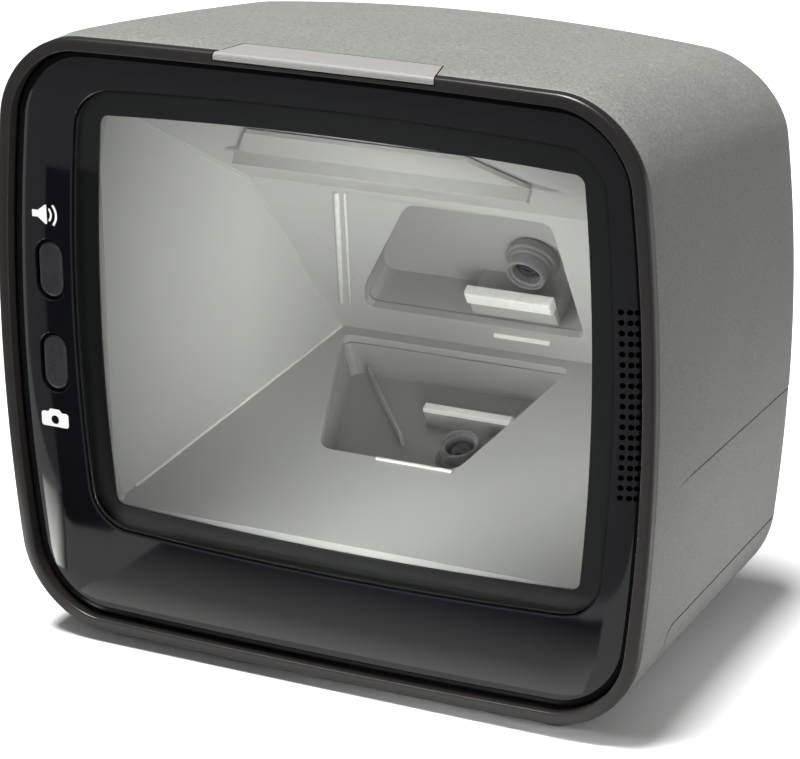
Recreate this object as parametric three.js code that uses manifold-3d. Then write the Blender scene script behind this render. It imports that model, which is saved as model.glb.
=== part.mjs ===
// A compact upright presentation scanner for a shop counter: a tall window in a gloss front,
// a textured rear housing with a pan-shaped base cover, and an optics chassis behind the window.
// Millimetres, +Z up, front facing -Y. The origin is under the middle of the object, at the feet.
import * as THREE from "three";
import { ConvexGeometry } from "three/addons/geometries/ConvexGeometry.js";
import { mergeVertices } from "three/addons/utils/BufferGeometryUtils.js";
import Module from "manifold-3d";

const wasm = await Module();
wasm.setup();

// ---- driving dimensions ----
const WIDTH = 152;
const DEPTH = 94;
const FOOT_LIFT = 2.5;
const RIM_HEIGHT = 135;
const CORNER_RADIUS = 18;
const SIDE_BOW = 5; // how far each side bulges past its corners
const TOP_BOW = 1;
const TOP_DROP = 8.5; // how much lower the top is at the back
const TOP_CROWN = 5; // how much more the top crowns at the back
const SIDE_TAPER = 1;
const REAR_FILLET = 12;
const WALL = 2.4;
const GAP = 0.3; // clearance between touching pieces

const FRONT = -DEPTH / 2;
const BACK = DEPTH / 2;
const BOTTOM = FOOT_LIFT;
const MID_Z = FOOT_LIFT + RIM_HEIGHT / 2;

const RIM_WIDTH = 2.7;
const RIM_DEPTH = 2.4;
const RIM_LIP_DEPTH = 4; // the lip runs on behind the rim, inside the housing
const RIM_LIP = 0.9;
const RIM_REBATE = 1.5; // wall left in the housing round the lip
const BEZEL_INSET = 3; // from the object's outline to the bezel's edge
const BEZEL_FACE = FRONT + 0.4;
const BEZEL_PLATE = 2.4;
const BEZEL_FILLET = 3;
const BEZEL_BACK = FRONT + 8.5;
const BEZEL_WALL = 1.8;
const STRAIGHT_END = BEZEL_BACK + 0.5; // the skin keeps the front outline as far as this

const WINDOW = { w: 123.6, h: 100.8, bowX: 2.9, bowZ: 1.9, r: 8, cx: 4.9, cz: MID_Z + 7.1 };
const APERTURE = { w: 113.5, h: 90.4, bowX: 2.2, bowZ: 1.6, r: 2, cx: 4.9, cz: MID_Z + 6.9 };
const WINDOW_FACE = FRONT + 0.7;
const WINDOW_THICK = 1.5;
const MASK_THICK = 0.4;
const GASKET_THICK = 1.2;
const WELL_BACK = FRONT + 6; // back of the bezel's walls and ledge round the window

const BUTTON_X = -62.7;
const BUTTON_Z = { volume: MID_Z + 15.5, camera: MID_Z - 5.5 };
const BUTTON_W = 6.2;
const BUTTON_H = 12.6;
const BUTTON_GAP = 0.5;
const BUTTON_TRAVEL = 0.6;

const GRILLE_ROWS = 19;
const GRILLE_PITCH = 2.155;
const GRILLE_TOP = MID_Z + 24.6;
const GRILLE_COLUMNS = [4.1, 2.4, 1.0]; // distances in from the bezel's edge
const GRILLE_HOLE = 0.62;

const LIGHT_BAR = { x0: -20.8, x1: 28.5, back: FRONT + 9, slant: 2.4, z: BOTTOM + RIM_HEIGHT - 1.6 };

const SEAM_Z = MID_Z - 48.7; // top edge of the base cover
const SEAM_FRONT = FRONT + 17; // front edge of the base cover
const FLOOR_TOP = BOTTOM + WALL;

const FOOT = { r: 4.6, x: 52, front: FRONT + 10, rear: BACK - 13 };
const BASE_SCREW = { x: 56, front: -20, rear: 28 };

// The optics cavity behind the window: a wedge whose floor and upper face meet at the back.
const CAVITY_X = 5.9;
const CAVITY_HALF = 56.5; // half its width at the front
const CAVITY_NARROWING = 0.376; // lost from the half width for each mm of depth
const CAVITY_FRONT = FRONT + 3;
const FLOOR_FRONT_Z = MID_Z - 36.8;
const CEILING_FRONT_Z = MID_Z + 54;
const APEX = { y: FRONT + 66, z: MID_Z - 12.3 };
const KINK = { y: FRONT + 40.5, z: MID_Z + 29 };
const CHASSIS_WALL = 2;
const CHASSIS_FRONT = FRONT + 7.2;
const MOUTH_FRONT = FRONT + 3.2; // the cavity's mouth reaches through the gasket to the window's border
const MOUTH_BACK = CHASSIS_FRONT + GAP + 1;
const MOUTH_WALL = 1.2;
const TRAY_DEPTH = 11;
const TRAY_WALL = 1.6;

const BOARD_THICK = 1.6;
const MAIN_BOARD = { x: 50, y0: -6, y1: 42, z: 22 };
const SCREW_R = 1.5;
const RIBBON_THICK = 0.6;

const OUTLINE = { w: WIDTH, h: RIM_HEIGHT, bowX: SIDE_BOW, bowZ: TOP_BOW, r: CORNER_RADIUS, cx: 0, cz: MID_Z };

// ---- materials ----
const COLOURS = {
  housing: [0x83857f, 0.75, 0],
  rim: [0x4c4744, 0.5, 0.1],
  bezel: [0x17181b, 0.15, 0],
  glass: [0xc4cac8, 0.05, 0],
  mask: [0x101114, 0.5, 0],
  rubber: [0x1a1a1b, 0.9, 0],
  light: [0xe4dcda, 0.35, 0],
  chassis: [0xb9bbb7, 0.6, 0],
  board: [0x1f5a35, 0.6, 0],
  black: [0x222326, 0.6, 0],
  steel: [0xa9abad, 0.35, 0.9],
  paper: [0xd9dad8, 0.8, 0],
  ribbon: [0xb8752a, 0.5, 0],
};
const finish = Object.fromEntries(
  Object.entries(COLOURS).map(([slot, [color, roughness, metalness]]) => [
    slot,
    () => new THREE.MeshStandardMaterial({ color, roughness, metalness }),
  ]),
);

const scanner = new THREE.Group();

function add(name, geometry, slot, parent = scanner) {
  const mesh = new THREE.Mesh(geometry, finish[slot]());
  mesh.name = name;
  parent.add(mesh);
  return mesh;
}

// ---- solids ----
function solid(shape) {
  if (!shape.isBufferGeometry) return shape;
  const bare = shape.clone();
  bare.deleteAttribute("normal");
  bare.deleteAttribute("uv");
  const merged = mergeVertices(bare, 1e-4);
  return new wasm.Manifold(
    new wasm.Mesh({
      numProp: 3,
      vertProperties: merged.attributes.position.array,
      triVerts: new Uint32Array(merged.index.array),
    }),
  );
}

function geometryOf(body) {
  const mesh = body.getMesh();
  const geometry = new THREE.BufferGeometry();
  geometry.setAttribute("position", new THREE.BufferAttribute(new Float32Array(mesh.vertProperties), 3));
  geometry.setIndex(new THREE.BufferAttribute(new Uint32Array(mesh.triVerts), 1));
  geometry.computeVertexNormals();
  return geometry;
}

const join = (first, ...rest) => rest.reduce((body, next) => body.add(solid(next)), solid(first));
const cut = (first, ...rest) => rest.reduce((body, next) => body.subtract(solid(next)), solid(first));
const common = (first, second) => solid(first).intersect(solid(second));

function box(x0, x1, y0, y1, z0, z1) {
  const block = new THREE.BoxGeometry(x1 - x0, y1 - y0, z1 - z0);
  return block.translate((x0 + x1) / 2, (y0 + y1) / 2, (z0 + z1) / 2);
}

// A cylinder along Y or along Z.
function rodY(radius, x, z, y0, y1, sides = 16) {
  const rod = new THREE.CylinderGeometry(radius, radius, y1 - y0, sides);
  return rod.translate(x, (y0 + y1) / 2, z);
}
function rodZ(radius, x, y, z0, z1, sides = 16) {
  const rod = new THREE.CylinderGeometry(radius, radius, z1 - z0, sides).rotateX(Math.PI / 2);
  return rod.translate(x, y, (z0 + z1) / 2);
}

// A rounded rectangle whose four sides bow outwards, as points of the XZ plane.
function bowed({ w, h, bowX, bowZ, r, cx, cz }, inset = 0) {
  const halfW = w / 2 - inset;
  const halfH = h / 2 - inset;
  const radius = Math.max(r - inset, 0.5);
  const arcSteps = radius > 10 ? 6 : 4;
  const sideSteps = 4;
  const corners = [
    [1, 1, 0],
    [-1, 1, 1],
    [-1, -1, 2],
    [1, -1, 3],
  ];
  const points = [];
  corners.forEach(([sx, sz, quarter], i) => {
    for (let k = 0; k <= arcSteps; k++) {
      const angle = ((quarter + k / arcSteps) * Math.PI) / 2;
      const x = sx * (halfW - radius) + radius * Math.cos(angle);
      const z = sz * (halfH - radius) + radius * Math.sin(angle);
      points.push(new THREE.Vector2(x, z));
    }
    const [nx, nz] = corners[(i + 1) % 4];
    const from = points.at(-1);
    const to = new THREE.Vector2(
      nx * (halfW - (quarter % 2 ? 0 : radius)),
      nz * (halfH - (quarter % 2 ? radius : 0)),
    );
    for (let k = 1; k < sideSteps; k++) points.push(from.clone().lerp(to, k / sideSteps));
  });
  return points.map((p) => {
    const x = p.x * (1 - (bowX / halfW) * (p.y / halfH) ** 2);
    const z = p.y * (1 - (bowZ / halfH) * (p.x / halfW) ** 2);
    return new THREE.Vector2(x + cx, z + cz);
  });
}

// A rectangle with round ends, its long side upright.
function obround(w, h, cx, cz, inset = 0, arcSteps = 6) {
  const radius = w / 2 - inset;
  const straight = h / 2 - w / 2;
  const points = [];
  for (const side of [1, -1]) {
    for (let k = 0; k <= arcSteps; k++) {
      const angle = (k / arcSteps) * Math.PI + (side > 0 ? 0 : Math.PI);
      const z = cz + side * straight + radius * Math.sin(angle);
      points.push(new THREE.Vector2(cx + radius * Math.cos(angle), z));
    }
  }
  return points;
}

// Extrudes an outline of the XZ plane from y0 to y1, with optional holes.
function slab(outline, y0, y1, holes = [], steps = 1) {
  const shape = new THREE.Shape(outline);
  holes.forEach((hole) => shape.holes.push(new THREE.Path(hole)));
  const geometry = new THREE.ExtrudeGeometry(shape, { depth: y1 - y0, steps, bevelEnabled: false });
  return geometry.rotateX(Math.PI / 2).translate(0, y1, 0);
}

function reshape(geometry, move) {
  const position = geometry.attributes.position;
  for (let i = 0; i < position.count; i++) {
    position.setXYZ(i, ...move(position.getX(i), position.getY(i), position.getZ(i)));
  }
  return geometry;
}

// A slab whose front edge is rounded by pulling its outline in.
function pillow(spec, inset, y0, y1, fillet, arcSteps) {
  const steps = arcSteps + 1;
  const halfW = spec.w / 2 - inset;
  const halfH = spec.h / 2 - inset;
  return reshape(slab(bowed(spec, inset), 0, 1, [], steps), (x, u, z) => {
    const step = Math.min(u * steps, arcSteps);
    const angle = (step / arcSteps) * (Math.PI / 2);
    const pull = fillet * (1 - Math.sin(angle));
    const y = u > 1 - 0.5 / steps ? y1 : y0 + fillet * (1 - Math.cos(angle));
    return [spec.cx + (x - spec.cx) * (1 - pull / halfW), y, spec.cz + (z - spec.cz) * (1 - pull / halfH)];
  });
}

// ---- the outer skin ----
// The front outline carried back: the top falls and crowns, the sides close in, and the back is rounded.
function skin(inset, y0) {
  const straightSteps = 4;
  const arcSteps = 4;
  const steps = straightSteps + arcSteps;
  const halfW = WIDTH / 2 - inset;
  const halfH = RIM_HEIGHT / 2 - inset;
  const radius = REAR_FILLET - inset;
  const arcStart = BACK - REAR_FILLET;
  return reshape(slab(bowed(OUTLINE, inset), 0, 1, [], steps), (x, u, z) => {
    const step = u * steps;
    const angle = Math.max(0, (step - straightSteps) / arcSteps) * (Math.PI / 2);
    const straight = Math.min(step / straightSteps, 1);
    const y = y0 + (arcStart - y0) * straight + radius * Math.sin(angle);
    const pull = radius * (1 - Math.cos(angle));
    const t = Math.max(0, (y - STRAIGHT_END) / (BACK - STRAIGHT_END));
    const rise = (z - BOTTOM) / RIM_HEIGHT;
    const drop = (TOP_DROP * t ** 1.2 + TOP_CROWN * t * (x / halfW) ** 2) * rise ** 2;
    return [
      x * (1 - (pull + SIDE_TAPER * t) / halfW),
      y,
      MID_Z + (z - drop - MID_Z) * (1 - pull / halfH),
    ];
  });
}

// The space that the base cover takes from the housing, seen from the side.
function baseBlock(grow) {
  const round = 4;
  const y = SEAM_FRONT - grow;
  const z = SEAM_Z + grow;
  const side = new THREE.Shape();
  side.moveTo(BACK + 20, -10);
  side.lineTo(BACK + 20, z);
  side.lineTo(y + round, z);
  side.quadraticCurveTo(y, z, y, z - round);
  side.lineTo(y, -10);
  const options = { depth: WIDTH + 40, bevelEnabled: false, curveSegments: 5 };
  const geometry = new THREE.ExtrudeGeometry(side, options);
  // the outline's first coordinate becomes Y and its second becomes Z
  return geometry.rotateX(Math.PI / 2).rotateZ(Math.PI / 2).translate(-WIDTH / 2 - 20, 0, 0);
}

// The light bar's plan outline, extruded upwards.
function lightBarBlock(grow) {
  const { x0, x1, back, slant, z } = LIGHT_BAR;
  const plan = new THREE.Shape([
    new THREE.Vector2(x0 - grow, FRONT - 5),
    new THREE.Vector2(x1 + grow, FRONT - 5),
    new THREE.Vector2(x1 + grow, FRONT),
    new THREE.Vector2(x1 + grow - slant, back + grow),
    new THREE.Vector2(x0 - grow + slant, back + grow),
    new THREE.Vector2(x0 - grow, FRONT),
  ]);
  const geometry = new THREE.ExtrudeGeometry(plan, { depth: 20, bevelEnabled: false });
  return geometry.translate(0, 0, z - grow);
}

const sides = [-1, 1];
const baseScrews = sides.flatMap((side) =>
  [BASE_SCREW.front, BASE_SCREW.rear].map((y) => [side * BASE_SCREW.x, y]),
);

const PORTS = {
  power_port: { x: -26, w: 13, h: 11, depth: 14, hollow: [9.2, 6.4] },
  host_port: { x: 0, w: 17, h: 13.4, depth: 16, hollow: [12, 8] },
  aux_port: { x: 27, w: 15, h: 8, depth: 14, hollow: [12.4, 5.2] },
};
const PORT_FACE = BACK - 0.6;
const PORT_Z = MAIN_BOARD.z + BOARD_THICK + GAP;

function makeHousing() {
  const outer = skin(0, FRONT + RIM_DEPTH + GAP);
  const hollow = skin(WALL, FRONT - 5);
  const rebateEnd = FRONT + RIM_DEPTH + GAP + RIM_LIP_DEPTH;
  const rebate = slab(bowed(OUTLINE, RIM_REBATE), FRONT - 1, rebateEnd);
  // the light bar's notch goes right through the wall
  const notch = lightBarBlock(GAP).translate(0, 0, -1);
  const shell = cut(outer, hollow, rebate, baseBlock(GAP), notch);
  const inside = skin(1, FRONT - 5);
  const bosses = baseScrews.map(([x, y]) => {
    const wallSide = Math.sign(x) * WIDTH * 0.55;
    const [x0, x1] = [Math.min(x - 5, wallSide), Math.max(x + 5, wallSide)];
    return common(box(x0, x1, y - 5, y + 5, SEAM_Z + GAP, SEAM_Z + 12), inside);
  });
  const pilots = baseScrews.map(([x, y]) => rodZ(SCREW_R + GAP, x, y, SEAM_Z - 1, SEAM_Z + 9));
  const cutouts = Object.values(PORTS).map(({ x, w, h }) =>
    box(x - w / 2 - GAP, x + w / 2 + GAP, BACK - 12, BACK + 5, PORT_Z - GAP, PORT_Z + h + GAP),
  );
  const footSeats = sides.map((side) => rodZ(FOOT.r + GAP, side * FOOT.x, FOOT.front, -1, BOTTOM + 1.3, 20));
  return cut(join(shell, ...bosses), ...pilots, ...cutouts, ...footSeats);
}

function makeBaseCover() {
  const pan = common(cut(skin(0, FRONT), skin(WALL, FRONT - 5)), baseBlock(0));
  const posts = baseScrews.map(([x, y]) => common(rodZ(4.6, x, y, 0, SEAM_Z), skin(0.4, FRONT)));
  const boardPosts = boardScrews.map(([x, y]) => rodZ(3.2, x, y, FLOOR_TOP - 1, MAIN_BOARD.z - GAP, 12));
  const holes = baseScrews.flatMap(([x, y]) => [
    rodZ(SCREW_R + GAP, x, y, -1, SEAM_Z + 1),
    rodZ(3.4, x, y, -1, 6.3),
  ]);
  const pilots = boardScrews.map(([x, y]) => rodZ(SCREW_R + GAP, x, y, FLOOR_TOP + 3, MAIN_BOARD.z + 1, 12));
  const footSeats = sides.map((side) => rodZ(FOOT.r + GAP, side * FOOT.x, FOOT.rear, -1, BOTTOM + 1.3, 20));
  const labelSeat = box(-28, 28, -4, 24, -1, BOTTOM + 1);
  return cut(join(pan, ...posts, ...boardPosts), ...holes, ...pilots, ...footSeats, labelSeat);
}

const boardScrews = sides.flatMap((side) =>
  [MAIN_BOARD.y0 + 5, MAIN_BOARD.y1 - 12].map((y) => [side * 44, y]),
);

function makeRim() {
  const face = cut(skin(0, FRONT), box(-WIDTH, WIDTH, FRONT + RIM_DEPTH, BACK + 9, -9, 200));
  const opening = slab(bowed(OUTLINE, RIM_WIDTH), FRONT - 5, BACK);
  const lipBack = FRONT + RIM_DEPTH + RIM_LIP_DEPTH - 0.2;
  const lip = slab(bowed(OUTLINE, RIM_WIDTH - RIM_LIP), FRONT + RIM_DEPTH - 1, lipBack);
  return cut(join(face, lip), opening, lightBarBlock(GAP));
}

const makeLightBar = () => common(skin(0, FRONT), lightBarBlock(0));

// ---- the bezel ----
const POCKET = { w: BUTTON_W + 2 * BUTTON_GAP, h: BUTTON_H + 2 * BUTTON_GAP };
const BEZEL_POSTS = {
  chassis: sides.map((side) => [side * 40, MID_Z - 51]),
  buttons: [
    [BUTTON_X, (BUTTON_Z.volume + BUTTON_Z.camera) / 2],
    [BUTTON_X, BUTTON_Z.camera - 13],
  ],
};
const BUTTON_BOARD_Y = FRONT + 11.6;

// Half width of the bezel's outline at a height.
const bezelEdge = (z) => {
  const halfW = WIDTH / 2 - BEZEL_INSET;
  return halfW - SIDE_BOW * ((z - MID_Z) / (RIM_HEIGHT / 2 - BEZEL_INSET)) ** 2;
};

function grilleHoles() {
  const holes = [];
  for (const inward of GRILLE_COLUMNS) {
    for (let row = 0; row < GRILLE_ROWS; row++) {
      const z = GRILLE_TOP - row * GRILLE_PITCH;
      holes.push(rodY(GRILLE_HOLE, bezelEdge(z) - inward, z, FRONT - 2, BEZEL_FACE + BEZEL_PLATE + 0.6, 6));
    }
  }
  return holes;
}

function makeBezel() {
  const plateBack = BEZEL_FACE + BEZEL_PLATE;
  const body = pillow(OUTLINE, BEZEL_INSET, BEZEL_FACE, BEZEL_BACK, BEZEL_FILLET, 4);
  const hollow = slab(bowed(OUTLINE, BEZEL_INSET + BEZEL_WALL), plateBack, BACK);
  const well = slab(bowed(WINDOW, -GAP - 1.2), plateBack - 1, WELL_BACK);
  const opening = slab(bowed(WINDOW, -GAP), FRONT - 5, WELL_BACK - 1.4);
  const ledge = slab(bowed(APERTURE, -1.5), FRONT - 5, BACK);
  const posts = [
    ...BEZEL_POSTS.chassis.map(([x, z]) => rodY(3, x, z, plateBack - 1, CHASSIS_FRONT, 12)),
    ...BEZEL_POSTS.buttons.map(([x, z]) => rodY(2.6, x, z, plateBack - 1, BUTTON_BOARD_Y - GAP, 12)),
  ];
  const pilots = [
    ...BEZEL_POSTS.chassis.map(([x, z]) => rodY(SCREW_R + GAP, x, z, plateBack + 0.8, BACK, 12)),
    ...BEZEL_POSTS.buttons.map(([x, z]) => rodY(1.3, x, z, plateBack + 2, BACK, 12)),
  ];
  const pockets = Object.values(BUTTON_Z).map((z) =>
    slab(obround(POCKET.w, POCKET.h, BUTTON_X, z), FRONT - 5, plateBack + 1),
  );
  return cut(join(cut(body, hollow), well, ...posts), opening, ledge, ...pilots, ...pockets, ...grilleHoles());
}

// ---- the window stack ----
function windowStack() {
  const maskFace = WINDOW_FACE + WINDOW_THICK + 0.25;
  const gasketFace = maskFace + MASK_THICK + 0.25;
  const opening = bowed(APERTURE);
  add("scan_window", slab(bowed(WINDOW), WINDOW_FACE, WINDOW_FACE + WINDOW_THICK), "glass");
  add("window_mask", slab(bowed(WINDOW), maskFace, maskFace + MASK_THICK, [opening]), "mask");
  const gasketHole = bowed(APERTURE, -1.5);
  const gasket = slab(bowed(WINDOW, 0.6), gasketFace, gasketFace + GASKET_THICK, [gasketHole]);
  add("window_gasket", gasket, "rubber");
}

// ---- buttons and their switches ----
function buttonStack(name, z) {
  const plateBack = BEZEL_FACE + BEZEL_PLATE;
  const capFace = BEZEL_FACE + 0.3;
  const flange = plateBack + GAP;
  const switchFace = flange + 3.4;
  const cap = join(
    slab(obround(BUTTON_W, BUTTON_H, BUTTON_X, z, 0.5), capFace, capFace + 0.6),
    slab(obround(BUTTON_W, BUTTON_H, BUTTON_X, z), capFace + 0.5, flange + 0.1),
    slab(obround(BUTTON_W + 2, BUTTON_H + 2.4, BUTTON_X, z), flange, flange + 1),
    rodY(1.6, BUTTON_X, z, flange + 0.9, flange + 2.2, 12),
  );
  add(`${name}_button`, geometryOf(cap), "black");
  add(`${name}_switch_plunger`, rodY(1.2, BUTTON_X, z, flange + 2.5, switchFace + 1.1, 12), "steel");
  const body = box(BUTTON_X - 3, BUTTON_X + 3, switchFace, BUTTON_BOARD_Y - GAP, z - 3, z + 3);
  const bore = rodY(1.6, BUTTON_X, z, switchFace - 1, switchFace + 1.1 + BUTTON_TRAVEL + 0.4, 12);
  add(`${name}_switch`, geometryOf(cut(body, bore)), "black");
}

function boardScrew(name, x, z, y0, length) {
  const head = rodY(2.2, x, z, y0, y0 + 1.2, 12);
  add(name, geometryOf(join(head, rodY(1, x, z, y0 - length, y0 + 0.1, 12))), "steel");
}

function buttonBoard() {
  const low = BUTTON_Z.camera - 16.5;
  const high = BUTTON_Z.volume + 10;
  const board = box(BUTTON_X - 6.4, BUTTON_X + 6.4, BUTTON_BOARD_Y, BUTTON_BOARD_Y + BOARD_THICK, low, high);
  const holes = BEZEL_POSTS.buttons.map(([x, z]) => rodY(1.3, x, z, FRONT, BACK, 12));
  add("button_board", geometryOf(cut(board, ...holes)), "board");
  BEZEL_POSTS.buttons.forEach(([x, z], i) =>
    boardScrew(`button_board_screw_${i + 1}`, x, z, BUTTON_BOARD_Y + BOARD_THICK + GAP, 6),
  );
}

// ---- the optics chassis ----
const halfWidthAt = (y) => CAVITY_HALF - CAVITY_NARROWING * (y - CAVITY_FRONT);

// A wedge from a YZ profile, as wide as the cavity is at each depth.
function wedge(profile, grow) {
  const points = profile.flatMap(([y, z]) =>
    sides.map((side) => new THREE.Vector3(CAVITY_X + side * (halfWidthAt(y) + grow), y, z)),
  );
  return new ConvexGeometry(points);
}

// Moves each edge of a convex profile outwards, and meets the moved edges again.
function offsetProfile(profile, distance) {
  const edges = profile.map(([y, z], i) => {
    const [y2, z2] = profile[(i + 1) % profile.length];
    const length = Math.hypot(y2 - y, z2 - z);
    const normal = [(z2 - z) / length, -(y2 - y) / length];
    return { normal, reach: normal[0] * y + normal[1] * z + distance };
  });
  return profile.map((_, i) => {
    const a = edges[(i + edges.length - 1) % edges.length];
    const b = edges[i];
    const det = a.normal[0] * b.normal[1] - a.normal[1] * b.normal[0];
    return [
      (a.reach * b.normal[1] - b.reach * a.normal[1]) / det,
      (b.reach * a.normal[0] - a.reach * b.normal[0]) / det,
    ];
  });
}

const CAVITY = [
  [CAVITY_FRONT, FLOOR_FRONT_Z],
  [APEX.y, APEX.z],
  [KINK.y, KINK.z],
  [CAVITY_FRONT, CEILING_FRONT_Z],
];

const floorAngle = Math.atan2(APEX.z - FLOOR_FRONT_Z, APEX.y - CAVITY_FRONT);
const upperAngle = Math.atan2(KINK.z - APEX.z, KINK.y - APEX.y);
const ceilingAngle = Math.atan2(KINK.z - CEILING_FRONT_Z, KINK.y - CAVITY_FRONT);

// A frame on one face of the cavity: X across, Y up the face from its first edge, Z into the cavity.
function faceFrame(y, z, angle) {
  const frame = new THREE.Group();
  frame.position.set(CAVITY_X, y, z);
  frame.rotation.x = angle;
  frame.updateMatrixWorld(true);
  scanner.add(frame);
  return frame;
}
const floorFrame = faceFrame(CAVITY_FRONT, FLOOR_FRONT_Z, floorAngle);
const upperFrame = faceFrame(APEX.y, APEX.z, upperAngle);
const ceilingFrame = faceFrame(CAVITY_FRONT, CEILING_FRONT_Z, ceilingAngle);

const placed = (geometry, frame) => geometry.clone().applyMatrix4(frame.matrixWorld);

// The two openings, as outlines on their faces.
const FLOOR_OPENING = [
  [-19.5, 27.5],
  [13.5, 27.5],
  [25.5, 65],
  [-31.5, 65],
];
const OPENING_ROUND = 3;
const UPPER_OPENING = [
  [-24.4, 8.5],
  [29.5, 8.5],
  [29.5, 46],
  [-4.4, 46],
  [-22.9, 15.7],
];
const CEILING_SHEET = [
  [-25, 8],
  [25, 8],
  [34, 23.6],
  [-34, 23.6],
];
const CEILING_SLOT = [
  [-22, 10.5],
  [22, 10.5],
  [22, 19],
  [-22, 19],
];

// An extruded polygon of a face, with its corners rounded over a length of its edges.
function plate(outline, z0, z1, grow = 0, round = OPENING_ROUND) {
  const corners = (grow ? offsetProfile(outline, grow) : outline).map(([x, y]) => new THREE.Vector2(x, y));
  const shape = new THREE.Shape();
  corners.forEach((corner, i) => {
    const before = corners.at(i - 1);
    const after = corners[(i + 1) % corners.length];
    const start = corner.clone().add(before.clone().sub(corner).setLength(round + grow));
    const end = corner.clone().add(after.clone().sub(corner).setLength(round + grow));
    if (i) shape.lineTo(start.x, start.y);
    else shape.moveTo(start.x, start.y);
    shape.quadraticCurveTo(corner.x, corner.y, end.x, end.y);
  });
  const options = { depth: z1 - z0, bevelEnabled: false, curveSegments: 4 };
  return new THREE.ExtrudeGeometry(shape, options).translate(0, 0, z0);
}

const CHASSIS_EARS = BEZEL_POSTS.chassis;

function makeChassis() {
  const outer = wedge(offsetProfile(CAVITY, CHASSIS_WALL), CHASSIS_WALL + 0.2);
  const space = wedge(CAVITY, 0);
  const throat = common(space, slab(bowed(APERTURE), FRONT, MOUTH_BACK));
  const inner = join(cut(space, box(-WIDTH, WIDTH, FRONT - 1, MOUTH_BACK - 0.01, -20, 200)), throat);
  const mouth = slab(bowed(APERTURE, -MOUTH_WALL), MOUTH_FRONT, MOUTH_BACK);
  const frontClear = box(-WIDTH, WIDTH, FRONT - 20, CHASSIS_FRONT + GAP, -20, 200);
  const earFace = CHASSIS_FRONT + GAP;
  const ears = CHASSIS_EARS.map(([x, z]) => box(x - 5, x + 5, earFace, earFace + 3, z - 5, z + 18));
  const earHoles = CHASSIS_EARS.map(([x, z]) => rodY(SCREW_R + GAP, x, z, FRONT, BACK, 12));
  const body = join(cut(outer, frontClear), mouth, ...ears);
  return cut(
    body,
    inner,
    ...earHoles,
    placed(plate(FLOOR_OPENING, -9, 9), floorFrame),
    placed(plate(UPPER_OPENING, -9, 9), upperFrame),
    placed(plate(CEILING_SLOT, -9, 9), ceilingFrame),
  );
}

// A tray behind an opening, with a lens barrel, lens, illumination bar and sensor board.
function cameraModule(name, frame, opening, { lens, bar }) {
  const top = -CHASSIS_WALL - GAP;
  const bottom = top - TRAY_DEPTH;
  const pan = cut(plate(opening, bottom, top, TRAY_WALL), plate(opening, bottom + TRAY_WALL, top + 1));
  const [lensX, lensY] = lens;
  const floor = bottom + TRAY_WALL;
  const lensHole = rodZ(3.4, lensX, lensY, bottom - 1, floor + 1, 20);
  const low = bar.y - bar.width / 2;
  const [x0, x1] = [bar.x - bar.length / 2, bar.x + bar.length / 2];
  const stand = box(x0, x1, low, low + bar.stand, floor - 0.1, bar.back - GAP);
  add(`${name}_camera_tray`, geometryOf(cut(join(pan, stand), lensHole)), "black", frame);
  const barrel = join(
    rodZ(6, lensX, lensY, floor + GAP, floor + 3, 24),
    rodZ(4.6, lensX, lensY, floor + 2.9, floor + 6.4, 24),
  );
  const throat = rodZ(3.2, lensX, lensY, floor - 1, floor + 9, 20);
  add(`${name}_lens_barrel`, geometryOf(cut(barrel, throat)), "black", frame);
  add(`${name}_lens`, rodZ(2.9, lensX, lensY, floor + 3.6, floor + 5.4, 20), "glass", frame);
  add(`${name}_led_bar`, box(x0, x1, low, low + bar.width, bar.back, bar.face), "light", frame);
  const board = box(lensX - 15, lensX + 11, lensY - 9, lensY + 9, bottom - GAP - BOARD_THICK, bottom - GAP);
  add(`${name}_sensor_board`, board, "board", frame);
}

function ceilingLight() {
  // the ceiling frame's Z points up out of the cavity, so the diffuser and its lip hang below the face
  const sheet = plate(CEILING_SHEET, -1.3, -GAP, 0, 0.5);
  const [x1, back] = CEILING_SHEET[2];
  const lip = box(-x1, x1, back - 1.5, back, -4.1, -1.2);
  add("ceiling_diffuser", geometryOf(join(sheet, lip)), "light", ceilingFrame);
  const boardFace = CHASSIS_WALL + GAP;
  const board = plate(CEILING_SLOT, boardFace, boardFace + BOARD_THICK, 3);
  add("ceiling_led_board", board, "board", ceilingFrame);
}

// ---- the speaker ----
const SPEAKER = { x: 67.4, w: 9.6, h: 36, z: GRILLE_TOP - ((GRILLE_ROWS - 1) * GRILLE_PITCH) / 2 };

function speaker() {
  const { x, w, h, z } = SPEAKER;
  const ring = (y0, y1, wall) =>
    slab(obround(w, h, x, z), y0, y1, [obround(w, h, x, z, wall)]);
  const face = BEZEL_BACK + 0.4;
  add("speaker_gasket", ring(face, face + 1, 1.2), "rubber");
  const basket = cut(
    slab(obround(w, h, x, z), face + 1 + GAP, face + 6),
    slab(obround(w, h, x, z, 1), face, face + 4.8),
    rodY(2.6, x, z, face, face + 9, 16),
  );
  add("speaker_basket", geometryOf(basket), "black");
  add("speaker_cone", slab(obround(w, h, x, z, 1.3), face + 1.8, face + 3), "mask");
  add("speaker_magnet", rodY(4, x, z, face + 6 + GAP, face + 9, 20), "steel");
}

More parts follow.
